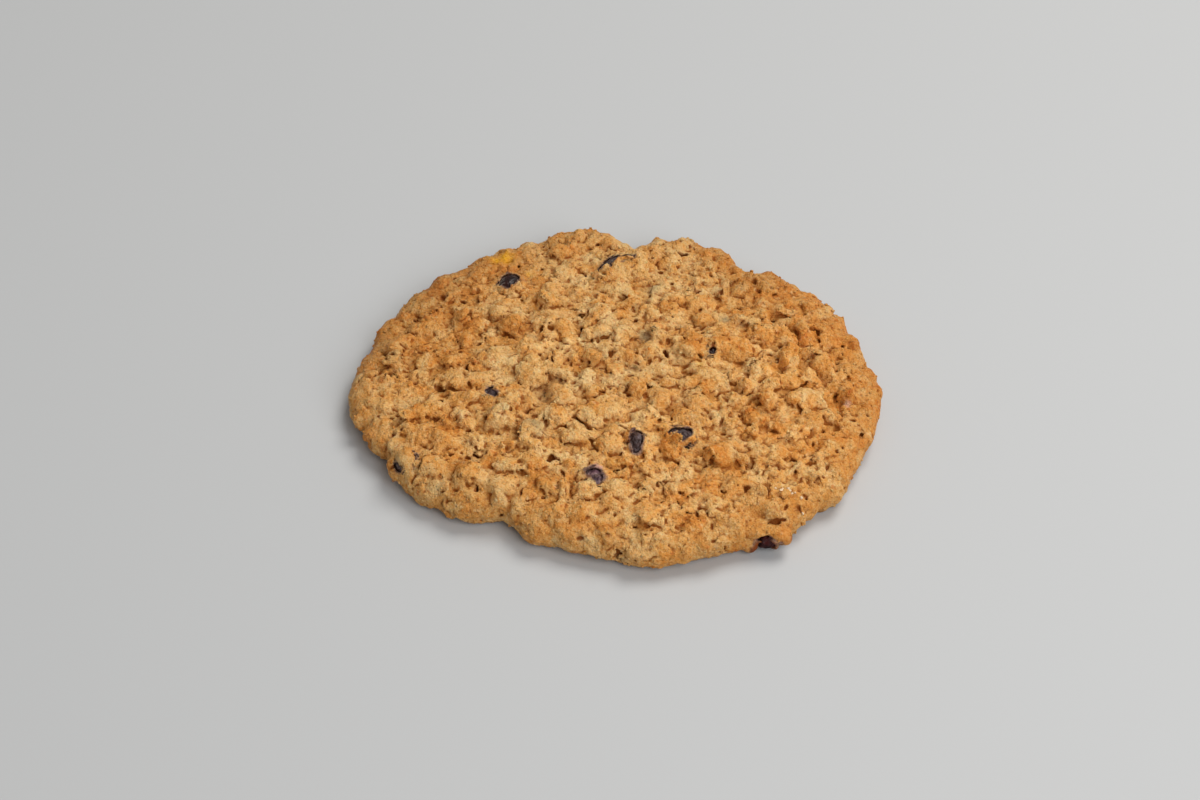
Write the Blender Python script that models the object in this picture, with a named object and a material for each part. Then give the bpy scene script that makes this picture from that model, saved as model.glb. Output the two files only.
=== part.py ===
"""Large oatmeal cranberry cookie, baked flat on a tray.

One dough body with nine dried cranberries sitting in pockets of its top and rim.
Metres, +Z up. The origin is the centre of the flat foot that the cookie rests on,
+X runs along the cookie's longer diameter and -Y is the side with the low rim berries.
"""

import math
import random

import bmesh
import bpy
from mathutils import Euler, Vector, noise

MM = 0.001

# ---- Driving dimensions, in millimetres ------------------------------------
HALF_LENGTH = 64.8  # of the ellipse that the outline follows, along X
HALF_WIDTH = 58.6  # the same, along Y
CENTRE_SHIFT = (0.47, 0.14)  # brings the uneven outline's box onto the origin
CROWN_HEIGHT = 11.6  # mean height of the top at the middle
SHOULDER_HEIGHT = 9.0  # mean height of the top where the rim starts to roll over
WIDEST_HEIGHT = 4.1  # height of the outline's widest line
RIM_ROLL = 5.4  # radial length of the rim's rounded upper corner
FOOT_INSET = 4.6  # radial length of the rim's rounded lower corner
RIM_KNOBS = 1.5  # how far oats push the rim in and out
TOP_RINGS = 19  # rings of points on the top, the outermost with six times as many points
ROLL_RINGS = 4
LOWER_RINGS = 3

# The outline's bulges and bites: (direction in degrees from +X, change of radius, half width in degrees)
OUTLINE_FEATURES = (
    (12.0, -0.8, 8.0),  # slight flat beside the +X end
    (44.0, -1.7, 8.0),  # the slope into the far right bite
    (56.0, -4.1, 6.0),  # far right bite
    (71.0, -0.6, 6.0),
    (86.5, -4.4, 5.0),  # far bite
    (93.0, -1.6, 5.0),
    (116.0, -1.3, 4.0),  # step beside the far lobe
    (138.0, -3.3, 25.0),  # long flat on the far left
    (172.0, -0.6, 10.0),
    (190.0, 2.0, 7.0),  # bulge at the -X end
    (206.0, -0.9, 5.0),
    (218.0, 0.5, 6.0),
    (233.0, -1.0, 6.0),
    (242.0, -3.2, 6.0),  # near left bite
    (254.0, -3.3, 8.0),
    (267.0, -1.7, 8.0),
    (290.0, 0.5, 8.0),
    (310.0, 1.9, 2.6),  # crumb over the rim berry
    (326.0, 0.9, 8.0),
    (341.0, -0.7, 8.0),
    (28.0, 1.4, 4.0),
    (46.0, 1.6, 3.5),
    (62.0, 1.8, 4.0),
    (73.0, 1.6, 3.5),
    (87.5, -2.4, 3.5),  # the far bite's narrow bottom
    (99.0, 1.4, 5.0),  # lobe beside it
    (107.0, 1.0, 4.0),
    (211.0, -1.6, 4.0),  # dent beside the left rim berry
    (243.0, -2.3, 5.5),  # the near left bite's bottom
    (281.0, 1.35, 4.0),
    (348.0, 0.7, 4.0),
)

# The larger clumps of oats on the top: x, y, half length, half width, turn in degrees, rise
MOUNDS = (
    # middle
    (-27.5, 1.5, 5.5, 5.0, 0, 1.3),
    (-21.5, 4.5, 4.2, 3.6, 0, 1.7),
    (-20.5, -4.5, 4.8, 4.4, 100, 2.1),
    (-13.6, -1.8, 5.6, 2.3, -58, 1.7),
    (-10.3, 2.2, 2.5, 1.1, 90, 1.2),
    (-6.2, 2.8, 3.0, 1.7, 90, 1.4),
    (-2.8, 7.0, 2.7, 2.1, 60, 1.0),
    (-4.5, 11.8, 4.6, 2.0, 0, 1.4),
    (1.2, 11.0, 2.6, 2.0, 90, 1.3),
    (-14.3, 14.0, 3.6, 2.6, -30, 1.7),
    (-19.5, 15.0, 3.0, 2.5, 0, 1.2),
    (-11.5, 9.8, 3.0, 2.0, -20, 1.0),
    (-16.5, 11.0, 2.2, 1.4, 20, 1.1),
    (5.2, -7.4, 2.5, 2.3, 100, 2.0),
    (10.6, -10.2, 4.0, 3.2, 90, 1.7),
    (-1.2, -14.5, 5.0, 4.2, 0, 1.6),
    (-6.5, -5.0, 3.0, 2.2, 90, 1.0),
    (3.2, 4.0, 2.4, 2.2, 90, 1.1),
    (0.0, -0.3, 2.6, 1.8, 0, 1.3),
    (9.5, 6.5, 3.0, 3.0, 0, 1.1),
    (10.5, 11.8, 2.2, 2.0, 0, 1.4),
    (17.6, 7.5, 4.2, 3.6, 0, 2.0),
    (21.0, 10.0, 3.0, 2.2, 90, 1.4),
    (14.8, 11.3, 1.8, 1.8, 0, 1.2),
    (18.5, 12.6, 2.4, 2.0, 0, 1.3),
    (12.5, -4.2, 2.0, 1.8, 0, 1.4),
    (17.5, -4.0, 3.0, 2.2, 30, 0.9),
    (22.5, -1.5, 5.0, 3.6, 90, 1.5),
    (19.5, -10.5, 3.2, 2.6, 0, 1.3),
    (17.0, -16.0, 4.0, 2.8, 10, 2.0),
    (8.0, -18.0, 3.0, 2.4, 90, 1.2),
    (-13.0, -11.5, 3.4, 3.2, 120, 1.4),
    (-13.3, -18.5, 3.4, 2.6, -30, 1.4),
    (-16.7, -16.5, 2.4, 1.8, 90, 1.2),
    (-7.0, -17.0, 3.0, 2.2, -40, 0.9),
    # right
    (29.0, 9.3, 4.8, 4.2, -10, 2.2),
    (25.5, 15.5, 3.2, 2.6, 0, 1.3),
    (36.0, 16.5, 4.4, 4.0, 0, 1.7),
    (41.2, 15.5, 4.0, 2.4, 100, 1.8),
    (42.3, 7.5, 4.2, 3.2, 110, 1.7),
    (36.0, 1.8, 3.2, 2.8, 0, 1.4),
    (29.5, -1.5, 2.4, 2.2, 90, 1.1),
    (33.0, -3.4, 2.8, 2.8, 0, 1.2),
    (37.8, -3.2, 2.8, 2.2, -10, 1.7),
    (37.3, -8.4, 2.6, 2.0, 90, 1.2),
    (43.0, -7.2, 2.4, 1.7, 90, 1.6),
    (43.2, -0.5, 3.6, 2.2, 90, 1.3),
    (47.5, 1.8, 2.8, 2.2, 90, 1.3),
    (50.6, 6.8, 3.2, 2.8, 90, 1.2),
    (47.2, 17.0, 3.4, 2.6, 90, 1.2),
    (47.0, -13.8, 3.6, 3.0, 100, 1.6),
    (48.0, -5.5, 3.2, 2.6, 0, 1.1),
    (40.3, -17.6, 2.4, 1.9, 0, 1.3),
    (33.0, -14.5, 3.0, 2.6, 0, 1.0),
    (52.5, -1.5, 2.4, 2.2, 0, 1.2),
    (45.0, 22.2, 3.2, 2.2, 90, 1.3),
    (35.0, 25.6, 2.8, 2.0, 0, 1.4),
    # left
    (-27.2, 12.3, 3.0, 2.3, -5, 2.1),
    (-46.5, -0.6, 3.0, 2.8, 0, 1.4),
    (-40.0, -6.8, 3.5, 3.0, 0, 1.8),
    (-33.4, -6.9, 2.9, 2.4, 0, 1.7),
    (-40.0, -0.3, 2.4, 1.9, 90, 1.5),
    (-35.3, 13.5, 3.4, 2.2, 90, 1.1),
    (-39.5, 15.0, 3.2, 2.0, 90, 1.2),
    (-47.0, 11.2, 2.6, 2.4, 90, 1.1),
    (-37.3, 8.5, 3.2, 1.6, 90, 1.1),
    (-53.5, -2.5, 2.6, 1.6, 90, 1.1),
    (-45.0, -17.8, 3.6, 2.6, 0, 1.1),
    (-25.0, -13.0, 2.6, 2.4, 90, 1.4),
    (-36.0, -13.0, 2.8, 2.4, 90, 1.1),
    # near
    (-43.0, -25.0, 5.2, 3.8, 0, 1.1),
    (-48.5, -24.0, 2.4, 2.2, 0, 1.1),
    (-33.0, -38.0, 3.0, 2.8, 90, 1.4),
    (-41.5, -36.0, 3.8, 3.0, 0, 0.9),
    (-26.0, -40.0, 4.6, 3.4, 0, 1.3),
    (-27.0, -20.0, 3.2, 2.6, 90, 1.1),
    (-25.0, -34.5, 3.0, 2.4, 0, 1.1),
    (-37.5, -27.0, 3.4, 3.2, 0, 0.9),
    (-8.5, -24.5, 3.4, 2.6, -10, 1.4),
    (-1.0, -26.5, 3.8, 3.2, 60, 2.1),
    (-0.3, -22.9, 2.6, 1.4, 0, 1.4),
    (-19.5, -22.5, 3.4, 3.0, 90, 1.4),
    (-20.0, -28.0, 4.0, 1.8, -8, 1.4),
    (-18.3, -33.5, 2.6, 2.6, 0, 1.1),
    (-14.0, -40.5, 3.0, 2.4, 0, 1.5),
    (2.2, -40.0, 2.9, 2.9, 0, 1.6),
    (2.0, -32.3, 3.4, 1.8, 0, 1.2),
    (8.6, -32.8, 2.6, 2.2, 0, 1.3),
    (13.8, -26.6, 3.0, 2.8, 0, 2.0),
    (-5.0, -47.0, 3.2, 2.6, 0, 1.2),
    (0.8, -44.8, 2.2, 1.8, 0, 1.3),
    (-11.5, -47.5, 2.2, 2.0, 0, 1.2),
    (9.0, -47.5, 3.0, 3.0, 0, 1.1),
    (15.0, -47.0, 3.4, 3.0, 90, 1.1),
    (16.0, -38.7, 3.8, 2.6, 25, 1.3),
    (26.3, -27.2, 4.2, 3.4, 70, 1.6),
    (39.6, -25.6, 2.9, 2.2, 0, 1.5),
    (35.0, -27.0, 3.4, 3.0, 90, 1.1),
    (38.7, -33.0, 2.8, 2.6, 0, 1.0),
    (28.0, -47.0, 3.2, 2.4, 0, 1.1),
    (33.0, -40.0, 4.5, 3.0, 0, 0.8),
    (45.5, -31.0, 2.6, 2.4, 0, 1.0),
    (29.5, -37.0, 2.8, 2.4, 0, 1.0),
    # far
    (-4.8, 20.6, 3.3, 2.9, 0, 2.0),
    (2.6, 36.6, 4.7, 4.4, 90, 2.0),
    (-0.5, 30.6, 4.0, 3.0, 0, 1.5),
    (-15.5, 45.0, 3.0, 2.8, 0, 1.5),
    (-14.0, 36.6, 4.0, 3.0, 90, 1.1),
    (-18.0, 24.6, 3.4, 3.0, 0, 1.1),
    (13.5, 27.0, 2.2, 1.8, 0, 1.4),
    (19.0, 26.0, 2.8, 2.8, 0, 1.3),
    (13.5, 21.2, 3.0, 2.6, 0, 1.1),
    (8.5, 20.8, 3.4, 2.2, 90, 1.1),
    (20.5, 19.2, 2.8, 2.4, 0, 1.4),
    (36.0, 31.6, 3.4, 3.0, 0, 1.3),
    (30.6, 34.0, 3.0, 3.0, 0, 1.2),
    (22.5, 37.0, 3.4, 3.0, 90, 1.2),
    (12.6, 42.0, 3.0, 2.4, 0, 1.2),
)

# Lower clusters of oats between them: a jittered triangular lattice of rounded mounds
CLUSTER_SEED = 11
CLUSTER_PITCH = 7.4
CLUSTER_RADIUS = (3.6, 6.4)
CLUSTER_RISE = (0.2, 1.5)

# Dried cranberries: name, x, y, height of the middle relative to the top there,
# half length, half width, half thickness, and turns about Z, Y and X in degrees
BERRIES = (
    ("cranberry_far_left", -28.7, 31.9, -1.5, 4.0, 3.2, 2.6, 62.0, 8.0, -8.0),
    ("cranberry_far", 0.2, 38.9, -2.1, 7.0, 5.4, 2.7, 38.0, 0.0, 6.0),
    ("cranberry_left", -29.8, -10.8, -1.5, 3.6, 2.8, 2.3, -10.0, 8.0, 0.0),
    ("cranberry_near_middle", 5.2, -25.0, -1.7, 4.1, 2.7, 2.5, 96.0, 6.0, 4.0),
    ("cranberry_near_right", 15.5, -22.3, -2.0, 4.4, 3.3, 2.5, -24.0, -6.0, 4.0),
    ("cranberry_near", -4.0, -37.0, -1.7, 4.3, 3.1, 2.6, 108.0, 6.0, -4.0),
    ("cranberry_rim_left", -48.2, -33.0, -2.2, 3.9, 3.2, 2.3, 122.0, 12.0, -14.0),
    ("cranberry_rim_right", 36.6, -48.0, -6.2, 4.9, 3.4, 2.7, 38.0, 0.0, 4.0),
    ("cranberry_middle", 23.1, 8.6, -1.6, 3.0, 2.2, 2.1, 84.0, 0.0, 6.0),
)
BERRY_WRINKLE = 0.22  # depth of the skin's folds
POCKET_GAP = 0.36  # free space between a berry and the dough round it

DOUGH_COLOUR = (0.52, 0.26, 0.085, 1.0)
BERRY_COLOUR = (0.045, 0.008, 0.012, 1.0)


def edge_radius(angle):
    """Distance from the middle to the outline's widest line, in the direction angle."""
    c, s = math.cos(angle), math.sin(angle)
    radius = HALF_LENGTH * HALF_WIDTH / math.hypot(HALF_WIDTH * c, HALF_LENGTH * s)
    degrees = math.degrees(angle)
    for direction, change, half_width in OUTLINE_FEATURES:
        turn = (degrees - direction + 180.0) % 360.0 - 180.0
        radius += change * math.exp(-((turn / half_width) ** 2))
    return radius


def make_clusters():
    """(x, y, radius along, radius across, cos, sin, rise) of each oat cluster."""
    chance = random.Random(CLUSTER_SEED)
    rows = int(HALF_WIDTH / (CLUSTER_PITCH * 0.866)) + 2
    columns = int(HALF_LENGTH / CLUSTER_PITCH) + 2
    made = []
    for row in range(-rows, rows + 1):
        for column in range(-columns, columns + 1):
            x = (column + 0.5 * (row % 2)) * CLUSTER_PITCH
            y = row * CLUSTER_PITCH * 0.866
            x += chance.uniform(-0.42, 0.42) * CLUSTER_PITCH
            y += chance.uniform(-0.42, 0.42) * CLUSTER_PITCH
            along = chance.uniform(*CLUSTER_RADIUS)
            across = along * chance.uniform(0.62, 1.0)
            turn = chance.uniform(0.0, math.pi)
            rise = chance.uniform(*CLUSTER_RISE)
            made.append((x, y, along, across, math.cos(turn), math.sin(turn), rise))
    return made


CLUSTERS = make_clusters()


def cluster_rise(x, y):
    """How far the mounds and clusters of oats lift the top at (x, y), less their usual rise."""
    highest = 0.0
    for mx, my, along, across, turn, rise in MOUNDS:
        dx, dy = x + CENTRE_SHIFT[0] - mx, y + CENTRE_SHIFT[1] - my
        if abs(dx) > along or abs(dy) > along:
            continue
        c, s = math.cos(math.radians(turn)), math.sin(math.radians(turn))
        u, v = (dx * c + dy * s) / along, (dy * c - dx * s) / across
        inside = 1.0 - u * u - v * v
        if inside > 0.0:
            highest = max(highest, rise * inside**0.5)
    for cx, cy, along, across, c, s, rise in CLUSTERS:
        dx, dy = x - cx, y - cy
        if abs(dx) > along or abs(dy) > along:
            continue
        u, v = (dx * c + dy * s) / along, (dy * c - dx * s) / across
        inside = 1.0 - u * u - v * v
        if inside > 0.0:
            highest = max(highest, rise * inside**0.6)
    return highest - 1.0


def top_height(x, y):
    """Height of the top at (x, y), without the rim's roll."""
    share = math.hypot(x, y) / edge_radius(math.atan2(y, x))
    dome = CROWN_HEIGHT - (CROWN_HEIGHT - SHOULDER_HEIGHT) * min(1.0, share) ** 2.4
    sway = 0.8 * noise.noise(Vector((x / 26.0, y / 26.0, 3.7)))
    return dome + sway + cluster_rise(x, y)


def rim_point(angle, kind, share):
    """A point of the rim's rounded corners: "roll" goes from the shoulder out to the widest line, "lower" from there in to the foot."""
    radius = edge_radius(angle)
    c, s = math.cos(angle), math.sin(angle)
    shoulder = radius - RIM_ROLL
    turn = share * math.pi / 2
    level = share if kind == "roll" else 1.0 + share
    knobs = noise.noise(Vector((c * 10.5, s * 10.5, level * 1.3)))
    grains = noise.noise(Vector((c * 21.0, s * 21.0, 5.0 + level * 2.2)))
    rough = RIM_KNOBS * knobs + 0.4 * RIM_KNOBS * grains
    if kind == "roll":
        out = shoulder + RIM_ROLL * math.sin(turn) + rough * math.sin(turn)
        start = top_height(shoulder * c, shoulder * s)
        height = WIDEST_HEIGHT + (start - WIDEST_HEIGHT) * math.cos(turn)
    else:
        out = radius - FOOT_INSET * (1.0 - math.cos(turn)) + rough * math.cos(turn)
        height = 0.0 if share == 1.0 else WIDEST_HEIGHT * (1.0 - math.sin(turn))
    return Vector((out * c, out * s, height))


def new_object(name, mesh_maker, material):
    mesh = bpy.data.meshes.new(name)
    shaping = bmesh.new()
    mesh_maker(shaping)
    shaping.to_mesh(mesh)
    shaping.free()
    mesh.shade_smooth()
    mesh.materials.append(material)
    made = bpy.data.objects.new(name, mesh)
    bpy.context.scene.collection.objects.link(made)
    return made


def make_material(name, colour, roughness):
    material = bpy.data.materials.new(name)
    material.use_nodes = True
    shader = material.node_tree.nodes["Principled BSDF"]
    shader.inputs["Base Color"].default_value = colour
    shader.inputs["Roughness"].default_value = roughness
    shader.inputs["Metallic"].default_value = 0.0
    material.diffuse_color = colour
    return material


def settle(point):
    """The real place of a point in millimetres, in metres."""
    return (point + Vector((CENTRE_SHIFT[0], CENTRE_SHIFT[1], 0.0))) * MM


def shape_dough(shaping):
    """The uneven top as rings of evenly spaced points, its edge drawn out and down round the rim, and a flat foot."""
    rings = [[shaping.verts.new(settle(Vector((0.0, 0.0, top_height(0.0, 0.0)))))]]
    for ring in range(1, TOP_RINGS + 1):
        points = []
        for step in range(6 * ring):
            angle = 2.0 * math.pi * step / (6 * ring)
            out = (edge_radius(angle) - RIM_ROLL) * ring / TOP_RINGS
            x, y = out * math.cos(angle), out * math.sin(angle)
            points.append(shaping.verts.new(settle(Vector((x, y, top_height(x, y))))))
        rings.append(points)
    for ring in range(1, TOP_RINGS + 1):
        outer, inner = rings[ring], rings[ring - 1]
        for side in range(6):
            for step in range(ring):
                a = outer[side * ring + step]
                b = outer[(side * ring + step + 1) % len(outer)]
                c = inner[(side * (ring - 1) + step) % len(inner)]
                shaping.faces.new((a, b, c))
                if step < ring - 1:
                    d = inner[(side * (ring - 1) + step + 1) % len(inner)]
                    shaping.faces.new((b, d, c))

    stations = [("roll", i / ROLL_RINGS) for i in range(1, ROLL_RINGS + 1)]
    stations += [("lower", i / LOWER_RINGS) for i in range(1, LOWER_RINGS + 1)]
    count = 6 * TOP_RINGS
    directions = {p: 2.0 * math.pi * i / count for i, p in enumerate(rings[-1])}
    edges = [e for e in shaping.edges if e.is_boundary]
    for kind, share in stations:
        drawn = bmesh.ops.extrude_edge_only(shaping, edges=edges)["geom"]
        edges = [g for g in drawn if isinstance(g, bmesh.types.BMEdge)]
        moved = [g for g in drawn if isinstance(g, bmesh.types.BMVert)]
        at = {tuple(p.co): a for p, a in directions.items()}
        directions = {p: at[tuple(p.co)] for p in moved}
        for point, angle in directions.items():
            point.co = settle(rim_point(angle, kind, share))
    bmesh.ops.holes_fill(shaping, edges=edges, sides=0)
    bmesh.ops.recalc_face_normals(shaping, faces=shaping.faces)


def berry_maker(index, outwards):
    """Shapes berry number index, grown by outwards along its surface."""

    def shape(shaping):
        _, x, y, lift, long_half, wide_half, thick_half, turn, pitch, roll = BERRIES[
            index
        ]
        bmesh.ops.create_icosphere(shaping, subdivisions=3, radius=1.0)
        for point in shaping.verts:
            way = point.co.normalized()
            folds = noise.noise(way * 2.6 + Vector((index * 7.3, 1.7, 4.1)))
            ridge = 1.0 - abs(noise.noise(way * 1.9 + Vector((3.1, index * 5.9, 8.2))))
            swell = 1.0 - BERRY_WRINKLE / thick_half * (0.9 * folds + ridge)
            point.co = Vector(
                (
                    way.x * long_half * swell,
                    way.y * wide_half * swell,
                    way.z * thick_half * swell,
                )
            )
        if outwards:
            shaping.normal_update()
            moves = [(p, p.normal.copy()) for p in shaping.verts]
            for point, normal in moves:
                point.co += normal * outwards
        turned = Euler(
            (math.radians(roll), math.radians(pitch), math.radians(turn)), "XYZ"
        ).to_matrix()
        middle = Vector((x, y, top_height(x, y) + lift))
        for point in shaping.verts:
            point.co = settle(turned @ point.co + middle)

    return shape


def make_pockets(material):
    """One hidden cutter holding every berry's pocket."""
    joined = bmesh.new()
    for index in range(len(BERRIES)):
        one = bmesh.new()
        berry_maker(index, POCKET_GAP)(one)
        carrier = bpy.data.meshes.new("pocket_carrier")
        one.to_mesh(carrier)
        one.free()
        joined.from_mesh(carrier)
        bpy.data.meshes.remove(carrier)
    mesh = bpy.data.meshes.new("berry_pockets")
    joined.to_mesh(mesh)
    joined.free()
    cutter = bpy.data.objects.new("berry_pockets", mesh)
    mesh.materials.append(material)
    cutter.hide_render = True
    cutter.display_type = "WIRE"
    bpy.context.scene.collection.objects.link(cutter)
    return cutter


def main():
    for old in list(bpy.data.objects):
        bpy.data.objects.remove(old)
    dough = make_material("baked_dough", DOUGH_COLOUR, 0.85)
    skin = make_material("cranberry_skin", BERRY_COLOUR, 0.35)

    cookie = new_object("cookie", shape_dough, dough)
    for index, berry in enumerate(BERRIES):
        new_object(berry[0], berry_maker(index, 0.0), skin).parent = cookie

    cut = cookie.modifiers.new("berry pockets", "BOOLEAN")
    cut.operation = "DIFFERENCE"
    cut.solver = "EXACT"
    cut.object = make_pockets(dough)


main()
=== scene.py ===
"""Looks of the oatmeal cranberry cookie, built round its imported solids.

The tables below are in millimetres in the part's own frame: +Z up, the foot on z = 0,
+X along the longer diameter, -Y the side with the low rim berries.
"""

import math
import random

import bmesh
import bpy
import numpy as np
from mathutils import Euler, Matrix, Vector, noise


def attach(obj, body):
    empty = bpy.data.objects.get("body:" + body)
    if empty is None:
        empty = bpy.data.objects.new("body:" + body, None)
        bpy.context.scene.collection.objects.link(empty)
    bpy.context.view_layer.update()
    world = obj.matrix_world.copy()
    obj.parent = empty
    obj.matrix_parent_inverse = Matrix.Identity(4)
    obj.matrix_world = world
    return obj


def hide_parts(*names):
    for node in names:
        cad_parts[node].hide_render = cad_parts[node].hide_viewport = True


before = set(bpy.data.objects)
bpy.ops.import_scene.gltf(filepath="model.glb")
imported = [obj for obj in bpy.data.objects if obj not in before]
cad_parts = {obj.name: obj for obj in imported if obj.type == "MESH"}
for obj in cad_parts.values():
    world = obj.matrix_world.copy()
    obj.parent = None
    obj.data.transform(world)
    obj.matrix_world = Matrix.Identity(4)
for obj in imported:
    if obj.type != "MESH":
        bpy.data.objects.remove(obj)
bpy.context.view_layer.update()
MM = 0.001

# ---- The cookie's shape, as the solids have it -------------------------------
HALF_LENGTH = 64.8
HALF_WIDTH = 58.6
CENTRE_SHIFT = (0.47, 0.14)
CROWN_HEIGHT = 11.6
SHOULDER_HEIGHT = 9.0
WIDEST_HEIGHT = 4.1
RIM_ROLL = 5.4
FOOT_INSET = 4.6

OUTLINE_FEATURES = (
    (12.0, -0.8, 8.0),
    (44.0, -1.7, 8.0),
    (56.0, -4.1, 6.0),
    (71.0, -0.6, 6.0),
    (86.5, -4.4, 5.0),
    (93.0, -1.6, 5.0),
    (116.0, -1.3, 4.0),
    (138.0, -3.3, 25.0),
    (172.0, -0.6, 10.0),
    (190.0, 2.0, 7.0),
    (206.0, -0.9, 5.0),
    (218.0, 0.5, 6.0),
    (233.0, -1.0, 6.0),
    (242.0, -3.2, 6.0),
    (254.0, -3.3, 8.0),
    (267.0, -1.7, 8.0),
    (290.0, 0.5, 8.0),
    (310.0, 1.9, 2.6),
    (326.0, 0.9, 8.0),
    (341.0, -0.7, 8.0),
    (28.0, 1.4, 4.0),
    (46.0, 1.6, 3.5),
    (62.0, 1.8, 4.0),
    (73.0, 1.6, 3.5),
    (87.5, -2.4, 3.5),
    (99.0, 1.4, 5.0),
    (107.0, 1.0, 4.0),
    (211.0, -1.6, 4.0),
    (243.0, -2.3, 5.5),
    (281.0, 1.35, 4.0),
    (348.0, 0.7, 4.0),
)

# Smaller bulges and bites of the crust's own outline: direction, change, half width
OUTLINE_DETAIL = (
    (4.0, 1.4, 5.5),
    (15.0, 0.8, 3.0),
    (20.0, -0.6, 2.0),
    (28.0, -0.9, 2.5),
    (36.0, 1.6, 2.4),
    (53.0, -0.7, 2.4),
    (76.0, -1.2, 2.4),
    (81.0, 0.9, 2.4),
    (72.0, 0.8, 2.4),
    (88.5, 1.3, 3.0),
    (100.0, 1.0, 3.0),
    (107.0, 0.8, 3.0),
    (116.0, 1.5, 2.0),
    (124.0, 1.3, 2.5),
    (132.0, 0.9, 2.0),
    (144.0, 1.0, 2.0),
    (160.0, -1.4, 2.5),
    (172.0, -1.1, 2.5),
    (176.0, -0.5, 2.5),
    (204.0, 1.2, 2.4),
    (212.0, 1.7, 2.4),
    (228.0, -0.8, 2.6),
    (240.0, -0.6, 2.6),
    (252.0, 1.3, 2.4),
    (276.0, 0.7, 2.6),
    (307.5, -1.9, 3.0),
    (313.0, 0.9, 2.4),
    (323.0, -0.9, 2.4),
    (328.0, 1.2, 2.8),
    (356.0, 0.8, 3.0),
)

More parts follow.
